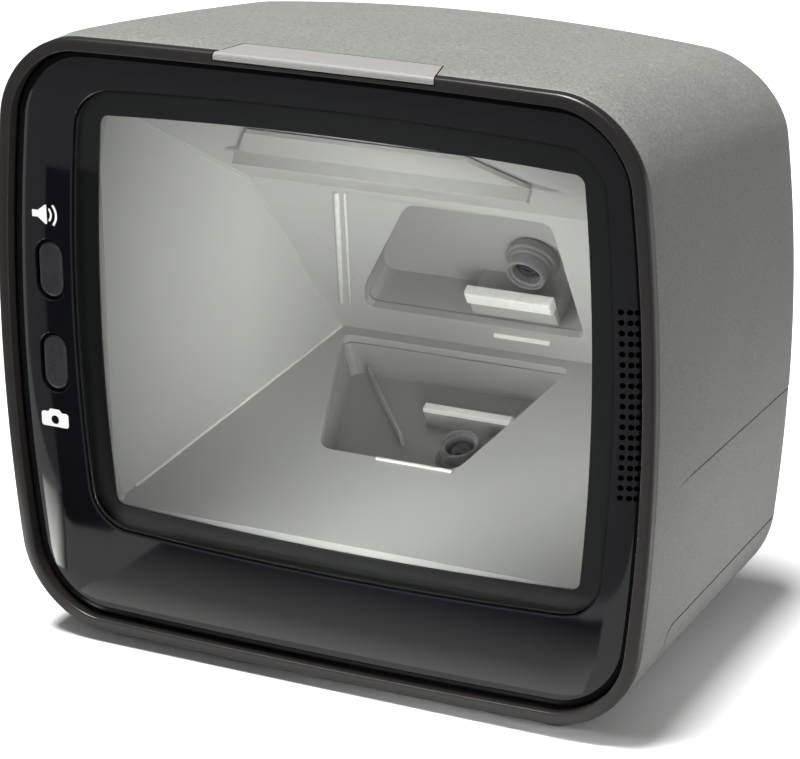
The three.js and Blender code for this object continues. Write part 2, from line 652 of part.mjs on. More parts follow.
// ---- boards, ports and fasteners ----
function mainBoard() {
  const { x, y0, y1, z } = MAIN_BOARD;
  const top = z + BOARD_THICK;
  const holes = boardScrews.map(([bx, by]) => rodZ(SCREW_R + GAP, bx, by, z - 1, top + 1, 12));
  const board = cut(box(-x, x, y0, y1, z, top), ...holes);
  add("main_board", geometryOf(board), "board");
  add("processor_shield", box(-22, 8, y0 + 6, y0 + 28, top + GAP, top + 2.6), "steel");
  boardScrews.forEach(([bx, by], i) => {
    const head = rodZ(2.8, bx, by, top + GAP, top + 2.2);
    const screw = join(head, rodZ(SCREW_R, bx, by, top - 9, top + GAP + 0.1, 12));
    add(`board_screw_${i + 1}`, geometryOf(screw), "steel");
  });
}

// A flat ribbon cable whose side view follows a path of [y, z] points.
function ribbon(name, path, x0, x1) {
  const half = RIBBON_THICK / 2;
  const side = (sign) =>
    path.map(([y, z], i) => {
      const [ya, za] = path[Math.max(i - 1, 0)];
      const [yb, zb] = path[Math.min(i + 1, path.length - 1)];
      const length = Math.hypot(yb - ya, zb - za);
      const reach = (sign * half) / length;
      return new THREE.Vector2(y - reach * (zb - za), z + reach * (yb - ya));
    });
  const outline = new THREE.Shape([...side(1), ...side(-1).reverse()]);
  const geometry = new THREE.ExtrudeGeometry(outline, { depth: x1 - x0, bevelEnabled: false });
  add(name, geometry.rotateX(Math.PI / 2).rotateZ(Math.PI / 2).translate(x0, 0, 0), "ribbon");
}

function ribbons() {
  const end = MAIN_BOARD.z + BOARD_THICK + GAP;
  ribbon("lower_camera_ribbon", [[1.5, 33.9], [5.5, 31.8], [8.6, 28.5], [9, end]], 10, 20);
  ribbon("upper_camera_ribbon", [[19.3, 87], [24, 85], [28, 78], [29, 60], [29, end]], 16, 26);
}

function ports() {
  for (const [name, { x, w, h, depth, hollow }] of Object.entries(PORTS)) {
    const [hollowW, hollowH] = hollow;
    const middle = PORT_Z + h / 2;
    const shell = box(x - w / 2, x + w / 2, PORT_FACE - depth, PORT_FACE, PORT_Z, PORT_Z + h);
    const socket = box(
      x - hollowW / 2, x + hollowW / 2,
      PORT_FACE - depth + 2, PORT_FACE + 1,
      middle - hollowH / 2, middle + hollowH / 2,
    );
    add(name, geometryOf(cut(shell, socket)), "black");
  }
}

function feetAndFasteners() {
  const feet = sides.flatMap((side) => [FOOT.front, FOOT.rear].map((y) => [side * FOOT.x, y]));
  feet.forEach(([x, y], i) => {
    const profile = [
      [0, 0],
      [FOOT.r - 0.8, 0],
      [FOOT.r, 0.8],
      [FOOT.r, BOTTOM + 1],
      [0, BOTTOM + 1],
    ].map(([r, z]) => new THREE.Vector2(r, z));
    const foot = new THREE.LatheGeometry(profile, 20).rotateX(Math.PI / 2).translate(x, y, 0);
    add(`foot_${i + 1}`, foot, "rubber");
  });
  baseScrews.forEach(([x, y], i) => {
    const screw = join(rodZ(3, x, y, 3.9, 6), rodZ(SCREW_R, x, y, 5.9, SEAM_Z + 8, 12));
    add(`base_screw_${i + 1}`, geometryOf(screw), "steel");
  });
  CHASSIS_EARS.forEach(([x, z], i) => {
    const head = CHASSIS_FRONT + 3.3 + GAP;
    const screw = join(rodY(2.8, x, z, head, head + 2), rodY(SCREW_R, x, z, FRONT + 4, head + 0.1, 12));
    add(`chassis_screw_${i + 1}`, geometryOf(screw), "steel");
  });
  add("rating_label", box(-26, 26, -2, 22, BOTTOM + 0.3, BOTTOM + 0.7), "paper");
}

// ---- assembly ----
add("rear_housing", geometryOf(makeHousing()), "housing");
add("base_cover", geometryOf(makeBaseCover()), "housing");
add("front_rim", geometryOf(makeRim()), "rim");
add("front_bezel", geometryOf(makeBezel()), "bezel");
windowStack();
add("indicator_light_bar", geometryOf(makeLightBar()), "light");
add("indicator_board", box(-18, 26, BEZEL_BACK + 0.5, BEZEL_BACK + 7, MID_Z + 60.5, MID_Z + 62.1), "board");
buttonStack("volume", BUTTON_Z.volume);
buttonStack("camera", BUTTON_Z.camera);
buttonBoard();
add("optics_chassis", geometryOf(makeChassis()), "chassis");
cameraModule("lower", floorFrame, FLOOR_OPENING, {
  lens: [7.3, 41.6],
  bar: { x: 4.5, y: 52.4, length: 21.4, width: 2, stand: 2, back: -7.3, face: -6 },
});
cameraModule("upper", upperFrame, UPPER_OPENING, {
  lens: [15.7, 20.6],
  bar: { x: 12, y: 13, length: 20.8, width: 8, stand: 4, back: -3.6, face: -1 },
});
ceilingLight();
speaker();
mainBoard();
ribbons();
ports();
feetAndFasteners();

export default scanner;
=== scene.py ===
"""An upright presentation scanner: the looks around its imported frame.

This script works in millimetres, with +Z up and the front facing -Y, and turns them into metres
where it makes a mesh. Outlines lie in the XZ plane, and an inset is measured inwards from one.
"""

import math
from collections import namedtuple

import bmesh
import bpy
from mathutils import Matrix, Vector


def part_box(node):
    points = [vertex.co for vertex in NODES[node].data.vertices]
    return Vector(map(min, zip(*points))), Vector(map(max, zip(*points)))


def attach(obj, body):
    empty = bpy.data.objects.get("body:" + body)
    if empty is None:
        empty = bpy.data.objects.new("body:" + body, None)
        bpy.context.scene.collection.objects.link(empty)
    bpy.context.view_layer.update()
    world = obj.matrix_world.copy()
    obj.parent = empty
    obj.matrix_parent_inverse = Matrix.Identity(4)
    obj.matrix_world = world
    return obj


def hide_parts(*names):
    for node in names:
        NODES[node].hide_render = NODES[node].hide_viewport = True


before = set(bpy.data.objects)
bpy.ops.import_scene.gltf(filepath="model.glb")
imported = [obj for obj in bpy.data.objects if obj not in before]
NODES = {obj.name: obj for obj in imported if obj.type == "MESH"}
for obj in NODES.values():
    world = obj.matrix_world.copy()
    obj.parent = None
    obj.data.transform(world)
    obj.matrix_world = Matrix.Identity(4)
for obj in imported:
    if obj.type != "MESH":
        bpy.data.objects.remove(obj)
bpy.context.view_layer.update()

MM = 0.001


def box_mm(node):
    low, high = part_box(node)
    return low / MM, high / MM


def middle_mm(node):
    low, high = box_mm(node)
    return (low + high) / 2


# ---- driving dimensions ----
rim_low, rim_high = box_mm("front_rim")
housing_high = box_mm("rear_housing")[1]
FRONT = rim_low.y
BACK = housing_high.y
BOTTOM = rim_low.z
WIDTH = rim_high.x - rim_low.x
HEIGHT = rim_high.z - rim_low.z
MID_Z = BOTTOM + HEIGHT / 2

Outline = namedtuple("Outline", "w h bow_x bow_z r cx cz")
OUTLINE = Outline(WIDTH, HEIGHT, 5, 1, 18, 0, MID_Z)
WINDOW = Outline(123.6, 100.8, 2.9, 1.9, 8, 4.9, MID_Z + 7.1)
APERTURE = Outline(113.5, 90.4, 2.2, 1.6, 2, 4.9, MID_Z + 6.9)

GAP = 0.3  # clearance between touching pieces
WALL = 2.4
TOP_DROP = 8.5  # how much lower the top is at the back
TOP_CROWN = 5  # how much more the top crowns at the back
SIDE_TAPER = 1
REAR_FILLET = 12
STRAIGHT_STEPS = 26
ARC_STEPS = 16
REBATE_INSET = 1.5
HOUSING_EDGE = 0.3

RIM_WIDTH = 2.7
RIM_DEPTH = 2.4
RIM_LIP = 0.9
RIM_LIP_DEPTH = 3.8
RIM_FILLET = 0.8
RIM_INNER_FILLET = 0.35

BEZEL_INSET = 3
BEZEL_FACE = FRONT + 0.4
BEZEL_PLATE = 2.4
BEZEL_WALL = 1.8
BEZEL_BACK = FRONT + 8.5
ROLL_WIDTH = 9.5  # the bezel's front rolls back over this width at its edge
ROLL_DEPTH = 2.8
WELL_BACK = FRONT + 6
STRAIGHT_END = BEZEL_BACK + 0.5

CREASE_LEVEL = -16  # the body line on each side, from the middle height
CREASE_DEPTH = 0.12
CREASE_HALF = 0.3
CREASE_GROOVE = 0.35  # the fine groove along the body line

BUTTON_W = 6.2
BUTTON_H = 12.6
POCKET_GAP = 0.5

GRILLE_ROWS = 19
GRILLE_PITCH = 2.155
GRILLE_TOP = MID_Z + 24.6
GRILLE_COLUMNS = (4.1, 2.4, 1.0)
GRILLE_HOLE = 0.62

BAR_X0, BAR_X1 = -20.8, 28.5
BAR_BACK = FRONT + 9
BAR_SLANT = 2.4
BAR_BOTTOM = BOTTOM + HEIGHT - 1.6

SEAM_Z = MID_Z - 48.7
SEAM_FRONT = FRONT + 17
SEAM_ROUND = 4
FOOT_R = 4.6
FOOT_SEAT_TOP = BOTTOM + 1.3
FOOT_CORE_R = 0.4
FOOT_DISH = 0.25  # how far the middle of its sole is raised
FOOT_ROLL = 0.8
POST_R = 4.6
SCREW_HOLE_R = 1.8
SCREW_SEAT_R = 3.4
SCREW_SEAT_TOP = 6.3
FOOT_NODES = ("foot_1", "foot_2", "foot_3", "foot_4")
SCREW_NODES = ("base_screw_1", "base_screw_2", "base_screw_3", "base_screw_4")
PORT_NODES = ("power_port", "host_port", "aux_port")
PORT_REACH = 14  # how far each socket's space goes in

CAVITY_X = 5.9
CAVITY_FRONT = FRONT + 3
FLOOR_FRONT_Z = MID_Z - 36.8
APEX_Y, APEX_Z = FRONT + 66, MID_Z - 12.3
KINK_Y, KINK_Z = FRONT + 40.5, MID_Z + 29
CAVITY_HALF = 56.5
CAVITY_NARROWING = 0.376
CEILING_FRONT_Z = MID_Z + 54
TRAY_FLOOR = -11.7  # in a cavity face's frame

CORNER_STEPS = 18
SIDE_STEPS = 28
SHARP_ANGLE = math.radians(32)


# ---- mesh making ----
def add_object(name, mesh):
    piece = bpy.data.objects.new(name, mesh)
    bpy.context.scene.collection.objects.link(piece)
    return piece


def tidy_normals(mesh):
    work = bmesh.new()
    work.from_mesh(mesh)
    bmesh.ops.recalc_face_normals(work, faces=work.faces)
    work.to_mesh(mesh)
    work.free()


def make(name, points, faces):
    mesh = bpy.data.meshes.new(name)
    mesh.from_pydata([[c * MM for c in point] for point in points], [], faces)
    tidy_normals(mesh)
    return add_object(name, mesh)


def loft(name, rings, capped=True):
    """A closed body through rings of points: its ends are capped, or its last ring meets its first."""
    count = len(rings[0])
    spans = len(rings) - 1 if capped else len(rings)
    faces = []
    for i in range(spans):
        a, b = i * count, (i + 1) % len(rings) * count
        faces += [(a + j, a + (j + 1) % count, b + (j + 1) % count, b + j) for j in range(count)]
    if capped:
        faces += [range(count), range((len(rings) - 1) * count, len(rings) * count)]
    return make(name, [p for ring in rings for p in ring], faces)


def lathe(name, profile, steps=64, capped=True):
    """A body turned round Z from (radius, height) pairs. With no caps, its pairs go round a bore."""
    rings = []
    for r, z in profile:
        angles = [2 * math.pi * k / steps for k in range(steps)]
        rings.append([(r * math.cos(a), r * math.sin(a), z) for a in angles])
    return loft(name, rings, capped)


def block(name, x0, x1, y0, y1, z0, z1):
    rings = [[(x0, y, z0), (x1, y, z0), (x1, y, z1), (x0, y, z1)] for y in (y0, y1)]
    return loft(name, rings)


def prism(name, outline, z0, z1):
    """An outline of the XY plane, raised from z0 to z1."""
    return loft(name, [[(x, y, z) for x, y in outline] for z in (z0, z1)])


def combine(piece, others, operation):
    for other in others:
        step = piece.modifiers.new("combine", "BOOLEAN")
        step.operation = operation
        step.object = other
        step.solver = "MANIFOLD"
        graph = bpy.context.evaluated_depsgraph_get()
        mesh = bpy.data.meshes.new_from_object(piece.evaluated_get(graph))
        piece.modifiers.clear()
        piece.data = mesh
        bpy.data.objects.remove(other)
    return piece


def cut(piece, *others):
    return combine(piece, others, "DIFFERENCE")


def join(piece, *others):
    return combine(piece, others, "UNION")


def common(piece, other):
    return combine(piece, (other,), "INTERSECT")


def move(piece, matrix):
    piece.data.transform(matrix)
    return piece


def shift(x, y, z):
    return Matrix.Translation(Vector((x, y, z)) * MM)


def finish_piece(piece, material, body, slot, *nodes):
    """Shades a new piece, gives it its material and body, and hides the nodes that it stands for."""
    piece.data.materials.clear()
    piece.data.materials.append(material)
    piece.data.shade_smooth()
    piece.data.set_sharp_from_angle(angle=SHARP_ANGLE)
    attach(piece, body)
    if nodes:
        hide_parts(*nodes)


# ---- outlines ----
def side_shares(crease):
    """Where a straight side has points, with a few more on each side of the crease."""
    shares = [k / SIDE_STEPS for k in range(1, SIDE_STEPS)]
    if crease:
        reach = HEIGHT / 2 - OUTLINE.r
        for offset in (-2, -1, 0, 1, 2):
            share = (1 - (CREASE_LEVEL + offset * CREASE_HALF) / reach) / 2
            shares += [share, 1 - share]
    return sorted(set(shares))


def outline(spec, inset=0.0, crease=False):
    """A rounded rectangle with bowed sides, as (x, z, height before bowing)."""
    half_w = spec.w / 2 - inset
    half_h = spec.h / 2 - inset
    radius = max(spec.r - inset, 0.5)
    corners = ((1, 1), (-1, 1), (-1, -1), (1, -1))
    flat = []
    for quarter, (sx, sz) in enumerate(corners):
        for k in range(CORNER_STEPS + 1):
            angle = (quarter + k / CORNER_STEPS) * math.pi / 2
            x = sx * (half_w - radius) + radius * math.cos(angle)
            z = sz * (half_h - radius) + radius * math.sin(angle)
            flat.append((x, z))
        start_x, start_z = flat[-1]
        next_x, next_z = corners[(quarter + 1) % 4]
        upright = quarter % 2 == 1
        end_x = next_x * (half_w - (0 if upright else radius))
        end_z = next_z * (half_h - (radius if upright else 0))
        for share in side_shares(crease and upright):
            flat.append((start_x + (end_x - start_x) * share, start_z + (end_z - start_z) * share))
    points = []
    for x, z in flat:
        bowed_x = x * (1 - spec.bow_x / half_w * (z / half_h) ** 2)
        bowed_z = z * (1 - spec.bow_z / half_h * (x / half_w) ** 2)
        points.append((bowed_x + spec.cx, bowed_z + spec.cz, z))
    return points


def flat_ring(spec, inset, y):
    return [(x, y, z) for x, z, _ in outline(spec, inset)]


def slab(name, spec, *sections):
    """A closed body through (inset, y) sections of one outline."""
    return loft(name, [flat_ring(spec, inset, y) for inset, y in sections])


def obround_ring(width, height, cx, cz, y, steps=20):
    radius = width / 2
    points = []
    for side in (1, -1):
        for k in range(steps + 1):
            angle = math.pi * k / steps + (0 if side > 0 else math.pi)
            z = cz + side * (height / 2 - radius) + radius * math.sin(angle)
            points.append((cx + radius * math.cos(angle), y, z))
    return points


def extrude_outline(name, points, y0, y1):
    return loft(name, [[(x, y, z) for x, z in points] for y in (y0, y1)])


def rod_y(name, radius, x, z, y0, y1, steps=24):
    angles = [2 * math.pi * k / steps for k in range(steps)]
    circle = [(x + radius * math.cos(a), z + radius * math.sin(a)) for a in angles]
    return extrude_outline(name, circle, y0, y1)


def rod_z(name, radius, x, y, z0, z1, steps=48):
    return move(lathe(name, [(radius, z0), (radius, z1)], steps), shift(x, y, 0))


def smooth_step(value, low, high):
    t = min(max((value - low) / (high - low), 0), 1)
    return t * t * (3 - 2 * t)


def skin_ring(y, inset=0.0, pull=0.0, crease=False):
    """The front outline carried back to y: the top falls and crowns, and the sides close in."""
    half_w = WIDTH / 2 - inset
    half_h = HEIGHT / 2 - inset
    depth = max(0, (y - STRAIGHT_END) / (BACK - STRAIGHT_END))
    fade = smooth_step(y, FRONT + 8, FRONT + 30)
    ring = []
    for x, z, level in outline(OUTLINE, inset, crease):
        rise = (z - BOTTOM) / HEIGHT
        drop = (TOP_DROP * depth**1.2 + TOP_CROWN * depth * (x / half_w) ** 2) * rise**2
        narrowing = pull + SIDE_TAPER * depth
        if crease:
            below = 1 - smooth_step(level, CREASE_LEVEL - CREASE_HALF, CREASE_LEVEL + CREASE_HALF)
            fade_down = smooth_step(level, -HEIGHT / 2 + 6, CREASE_LEVEL - 8)
            groove = max(0, 1 - abs(level - CREASE_LEVEL) / CREASE_HALF)
            narrowing += (CREASE_DEPTH * below * fade_down + CREASE_GROOVE * groove) * fade
        pulled_z = MID_Z + (z - drop - MID_Z) * (1 - pull / half_h)
        ring.append((x * (1 - narrowing / half_w), y, pulled_z))
    return ring


def skin(name, inset, y0, crease=False, edge=0.0):
    """The whole outer form from y0 back, moved in by inset. edge rounds its front edge."""
    radius = REAR_FILLET - inset
    arc_start = BACK - REAR_FILLET
    rings = []
    if edge:
        for k in range(4):
            angle = k / 4 * math.pi / 2
            y, pull = y0 + edge * (1 - math.sin(angle)), edge * (1 - math.cos(angle))
            rings.append(skin_ring(y, inset, pull, crease))
        rings = [skin_ring(y0, inset, edge, crease)] + rings[::-1]
    for k in range(STRAIGHT_STEPS):
        y = y0 + edge + (arc_start - y0 - edge) * k / STRAIGHT_STEPS
        rings.append(skin_ring(y, inset, 0, crease))
    for k in range(ARC_STEPS + 1):
        angle = k / ARC_STEPS * math.pi / 2
        y, pull = arc_start + radius * math.sin(angle), radius * (1 - math.cos(angle))
        rings.append(skin_ring(y, inset, pull, crease))
    rings.append(skin_ring(arc_start + radius, inset, radius + 1, crease))
    return loft(name, rings)


def base_block(name, grow):
    """The space that the base cover takes from the housing."""
    y0, z1 = SEAM_FRONT - grow, SEAM_Z + grow
    side = [(BACK + 20, -10), (BACK + 20, z1)]
    steps = 14
    for k in range(steps + 1):
        t = k / steps
        side.append((y0 + SEAM_ROUND * (1 - t) ** 2, z1 - SEAM_ROUND * t**2))
    side.append((y0, -10))
    return loft(name, [[(x, y, z) for y, z in side] for x in (-WIDTH, WIDTH)])


def bar_block(name, grow):
    plan = [
        (BAR_X0 - grow, FRONT - 5),
        (BAR_X1 + grow, FRONT - 5),
        (BAR_X1 + grow, FRONT),
        (BAR_X1 + grow - BAR_SLANT, BAR_BACK + grow),
        (BAR_X0 - grow + BAR_SLANT, BAR_BACK + grow),
        (BAR_X0 - grow, FRONT),
    ]
    return prism(name, plan, BAR_BOTTOM - grow, BAR_BOTTOM + 20)


# ---- materials ----
class Paint:
    """A Principled material and the nodes that vary it."""

    def __init__(self, name, colour, roughness, **sockets):
        self.material = bpy.data.materials.new(name)
        self.material.use_nodes = True
        self.tree = self.material.node_tree
        self.shader = self.tree.nodes["Principled BSDF"]
        self.colour = colour
        self.shader.inputs["Base Color"].default_value = (*colour, 1)
        self.shader.inputs["Roughness"].default_value = roughness
        for socket, value in sockets.items():
            self.shader.inputs[socket.replace("_", " ")].default_value = value

    def node(self, kind, **values):
        made = self.tree.nodes.new(kind)
        for key, value in values.items():
            if key in made.inputs:
                made.inputs[key].default_value = value
            else:
                setattr(made, key, value)
        return made

    def link(self, out, to):
        self.tree.links.new(out, to)

    def noise(self, size, detail=2.0, stretch=(1, 1, 1)):
        """Noise whose grains are about size millimetres across."""
        place = self.node("ShaderNodeTexCoord")
        scale = self.node("ShaderNodeMapping")
        scale.inputs["Scale"].default_value = stretch
        self.link(place.outputs["Object"], scale.inputs["Vector"])
        made = self.node("ShaderNodeTexNoise", Scale=1 / (size * MM), Detail=detail)
        self.link(scale.outputs["Vector"], made.inputs["Vector"])
        return made.outputs["Fac"]

    def spread(self, source, low, high, start=0.3, end=0.7):
        """Maps source from start..end to low..high."""
        made = self.node("ShaderNodeMapRange")
        made.inputs["From Min"].default_value = start
        made.inputs["From Max"].default_value = end
        made.inputs["To Min"].default_value = low
        made.inputs["To Max"].default_value = high
        self.link(source, made.inputs["Value"])
        return made.outputs["Result"]

    def tint(self, source, low, high, start=0.3, end=0.7):
        """Varies the colour between its low and high multiples, on top of what already varies it."""
        shade = self.spread(source, low, high, start, end)
        made = self.node("ShaderNodeMix", data_type="RGBA", blend_type="MULTIPLY")
        made.inputs["Factor"].default_value = 1
        base = self.shader.inputs["Base Color"]
        if base.is_linked:
            self.link(base.links[0].from_socket, made.inputs[6])
        else:
            made.inputs[6].default_value = (*self.colour, 1)
        self.link(shade, made.inputs[7])
        self.link(made.outputs[2], base)

    def gloss(self, source, low, high, start=0.3, end=0.7):
        self.link(self.spread(source, low, high, start, end), self.shader.inputs["Roughness"])

    def bump(self, source, height):
        """Raises the surface by up to height millimetres where source is high."""
        made = self.node("ShaderNodeBump", Strength=1, Distance=height * MM)
        self.link(source, made.inputs["Height"])
        normal = self.shader.inputs["Normal"]
        if normal.is_linked:
            self.link(normal.links[0].from_socket, made.inputs["Normal"])
        self.link(made.outputs["Normal"], normal)


def moulded(name, colour, roughness, grain=0.25, tint=0.06, bump=0.02, **sockets):
    """Moulded plastic: fine grain, a soft unevenness and a roughness that varies."""
    paint = Paint(name, colour, roughness, **sockets)
    fine = paint.noise(grain, 3)
    broad = paint.noise(grain * 40, 3)
    paint.tint(fine, 1 - tint, 1 + tint)
    paint.tint(broad, 1 - tint * 0.4, 1 + tint * 0.4)
    paint.gloss(broad, roughness * 0.9, min(roughness * 1.12, 1))
    paint.bump(fine, bump)
    return paint.material


def housing_material():
    """Spark-eroded grey plastic: fine speckle, light and dark grains, and a matt grain you can feel."""
    paint = Paint("housing_plastic", (0.205, 0.209, 0.194), 0.55)
    fine = paint.noise(0.42, 2)
    grain = paint.noise(0.9, 4)
    broad = paint.noise(14, 3)
    paint.tint(fine, 0.8, 1.2)
    paint.tint(grain, 0.88, 1.12)
    paint.tint(broad, 0.97, 1.03)
    paint.gloss(grain, 0.46, 0.64)
    paint.bump(fine, 0.04)
    paint.bump(grain, 0.06)
    return paint.material


def rim_material():
    paint = Paint("rim_satin", (0.017, 0.0145, 0.0135), 0.3)
    paint.tint(paint.noise(0.3, 2), 0.93, 1.07)
    streaks = paint.noise(6, 2, (0.12, 1, 1))
    paint.gloss(streaks, 0.26, 0.36)
    paint.bump(paint.noise(0.25, 2), 0.004)
    return paint.material


def bezel_material():
    """Piano black: a clear top layer over black, with the faintest haze and waviness."""
    paint = Paint("bezel_gloss", (0.004, 0.0042, 0.006), 0.07, Coat_Weight=0.15, Coat_Roughness=0.04)
    haze = paint.noise(9, 4)
    paint.gloss(haze, 0.06, 0.11)
    paint.tint(paint.noise(30, 2), 0.85, 1.15)
    paint.bump(paint.noise(22, 1), 0.006)
    return paint.material


def button_material():
    paint = Paint("button_satin", (0.022, 0.021, 0.025), 0.28)
    paint.tint(paint.noise(0.2, 2), 0.9, 1.1)
    wear = paint.noise(3.5, 3)
    paint.gloss(wear, 0.22, 0.36)
    paint.bump(paint.noise(0.16, 2), 0.004)
    return paint.material


def glass_material():
    """Clear glass: what it lets through and what it mirrors are shared by Fresnel."""
    material = bpy.data.materials.new("window_glass")
    material.use_nodes = True
    tree = material.node_tree
    tree.nodes.remove(tree.nodes["Principled BSDF"])
    mirror = tree.nodes.new("ShaderNodeBsdfGlossy")
    mirror.inputs["Color"].default_value = (1, 1, 1, 1)
    mirror.inputs["Roughness"].default_value = 0.02
    clear = tree.nodes.new("ShaderNodeBsdfTransparent")
    clear.inputs["Color"].default_value = (0.975, 0.98, 0.972, 1)
    share = tree.nodes.new("ShaderNodeFresnel")
    share.inputs["IOR"].default_value = 1.22
    blend = tree.nodes.new("ShaderNodeMixShader")
    output = tree.nodes["Material Output"]
    tree.links.new(share.outputs["Fac"], blend.inputs["Fac"])
    tree.links.new(clear.outputs["BSDF"], blend.inputs[1])
    tree.links.new(mirror.outputs["BSDF"], blend.inputs[2])
    tree.links.new(blend.outputs["Shader"], output.inputs["Surface"])
    return material


def mask_material():
    paint = Paint("mask_print", (0.007, 0.0075, 0.008), 0.5)
    paint.tint(paint.noise(0.35, 2), 0.85, 1.15)
    paint.bump(paint.noise(0.35, 2), 0.003)
    return paint.material


def light_bar_material():
    """Frosted diffuser: milky, with a soft inner glow."""
    paint = Paint("frosted_diffuser", (0.29, 0.278, 0.27), 0.42, Subsurface_Weight=0.2)
    paint.shader.inputs["Subsurface Radius"].default_value = (0.002, 0.0018, 0.0017)
    paint.tint(paint.noise(2.5, 3, (0.2, 1, 1)), 0.97, 1.03)
    paint.bump(paint.noise(0.3, 2), 0.004)
    return paint.material


def board_material():
    """Green solder mask with faint copper tracks under it."""
    paint = Paint("circuit_board", (0.012, 0.09, 0.035), 0.35)
    tracks = paint.noise(1.6, 0, (1, 0.15, 0.15))
    paint.tint(tracks, 0.7, 1.35, 0.46, 0.54)
    paint.bump(tracks, 0.02)
    paint.gloss(paint.noise(5, 2), 0.3, 0.42)
    return paint.material


def steel_material():
    paint = Paint("steel", (0.5, 0.5, 0.51), 0.3, Metallic=1.0)
    brushed = paint.noise(0.3, 2, (1, 0.1, 1))
    paint.tint(brushed, 0.9, 1.1)
    paint.gloss(brushed, 0.22, 0.42)
    paint.bump(brushed, 0.004)
    return paint.material


def lens_material():
    paint = Paint("lens_glass", (0.015, 0.017, 0.024), 0.04, Coat_Weight=1.0, Coat_Roughness=0.02)
    paint.tint(paint.noise(1.5, 1), 0.8, 1.2)
    return paint.material


def ribbon_material():
    paint = Paint("ribbon_film", (0.42, 0.17, 0.035), 0.3)
    lines = paint.noise(1.2, 0, (1, 0.02, 0.02))
    paint.tint(lines, 0.75, 1.2, 0.45, 0.55)
    paint.bump(lines, 0.01)
    return paint.material


def led_and_glint_glow_material():
    """A lit light-pipe face inside the cavity; the same glow also paints the highlight along the
    opening's front edge and lights a thin strip on the upper face.
    """
    paint = Paint("led_and_glint_glow", (0.8, 0.8, 0.78), 0.3, Emission_Strength=0.12)
    paint.shader.inputs["Emission Color"].default_value = (1, 1, 0.97, 1)
    paint.tint(paint.noise(1.2, 2), 0.95, 1.05)
    paint.bump(paint.noise(0.5, 1), 0.01)
    return paint.material


def ceiling_material():
    """An unlit diffuser sheet, a little lighter than the cavity."""
    paint = Paint("diffuser_sheet", (0.46, 0.46, 0.445), 0.3)
    paint.tint(paint.noise(2.2, 2), 0.97, 1.03)
    paint.bump(paint.noise(0.6, 1), 0.006)
    return paint.material


def highlight_bead_material():
    """A thin bead where the cavity's panels meet, coloured lighter than the walls round it: a painted
    highlight line.
    """
    paint = Paint("highlight_bead", (0.68, 0.68, 0.66), 0.25)
    paint.tint(paint.noise(1.5, 2), 0.94, 1.05)
    paint.bump(paint.noise(0.5, 1), 0.004)
    return paint.material


def turned_material():
    """Satin grey, faintly uneven."""
    paint = Paint("turned_metal", (0.27, 0.27, 0.265), 0.4, Metallic=0.15)
    haze = paint.noise(2.5, 1)
    paint.tint(haze, 0.98, 1.02)
    paint.gloss(haze, 0.36, 0.44)
    paint.bump(paint.noise(0.5, 1), 0.0004)
    return paint.material


MATERIALS = {
    "ceiling": ceiling_material(),
    "turned": turned_material(),
    "seam": highlight_bead_material(),
    "housing_plastic": housing_material(),
    "rim_plastic": rim_material(),
    "bezel_gloss": bezel_material(),
    "button": button_material(),
    "window_glass": glass_material(),
    "mask_black": mask_material(),
    "soft_rubber": moulded("soft_rubber", (0.022, 0.022, 0.023), 0.62, grain=0.3, tint=0.12, bump=0.03),
    "light_plastic": light_bar_material(),
    "led_and_glint_glow": led_and_glint_glow_material(),
    "chassis_plastic": moulded(
        "chassis_plastic", (0.45, 0.45, 0.44), 0.36, grain=0.4, tint=0.015, bump=0.004
    ),
    "inner_black": moulded("inner_black", (0.03, 0.031, 0.033), 0.5, grain=0.3, tint=0.1, bump=0.015),
    "tray": moulded("tray_plastic", (0.42, 0.42, 0.41), 0.4, grain=0.4, tint=0.02, bump=0.006),
    "circuit_board": board_material(),
    "steel": steel_material(),
    "lens_glass": lens_material(),
    "label_paper": moulded("label_paper", (0.62, 0.62, 0.6), 0.5, grain=0.2, tint=0.03, bump=0.006),
    "ribbon_film": ribbon_material(),
    "icon_print": moulded("icon_print", (0.82, 0.82, 0.82), 0.4, grain=0.15, tint=0.03, bump=0.003),
}


# ---- housing and base ----
def make_housing():
    shell = skin("housing_shell", 0, FRONT + RIM_DEPTH + GAP, crease=True, edge=HOUSING_EDGE)
    hollow = skin("hollow", WALL, FRONT - 5)
    rebate_end = FRONT + RIM_DEPTH + GAP + RIM_LIP_DEPTH + 0.2
    rebate = slab("rebate", OUTLINE, (REBATE_INSET, FRONT - 1), (REBATE_INSET, rebate_end))
    notch = move(bar_block("bar_space", GAP), shift(0, 0, -1))
    cut(shell, hollow, rebate, base_block("base_space", GAP), notch)
    for node in PORT_NODES:
        low, high = box_mm(node)
        across, up = (low.x - GAP, high.x + GAP), (low.z - GAP, high.z + GAP)
        cut(shell, block("port_space", *across, BACK - PORT_REACH, BACK + 5, *up))
    for node in FOOT_NODES:
        foot = middle_mm(node)
        if foot.y < SEAM_FRONT:
            cut(shell, rod_z("foot_seat", FOOT_R + GAP, foot.x, foot.y, -1, FOOT_SEAT_TOP))
    finish_piece(shell, MATERIALS["housing_plastic"], "scanner", "housing_plastic", "rear_housing")


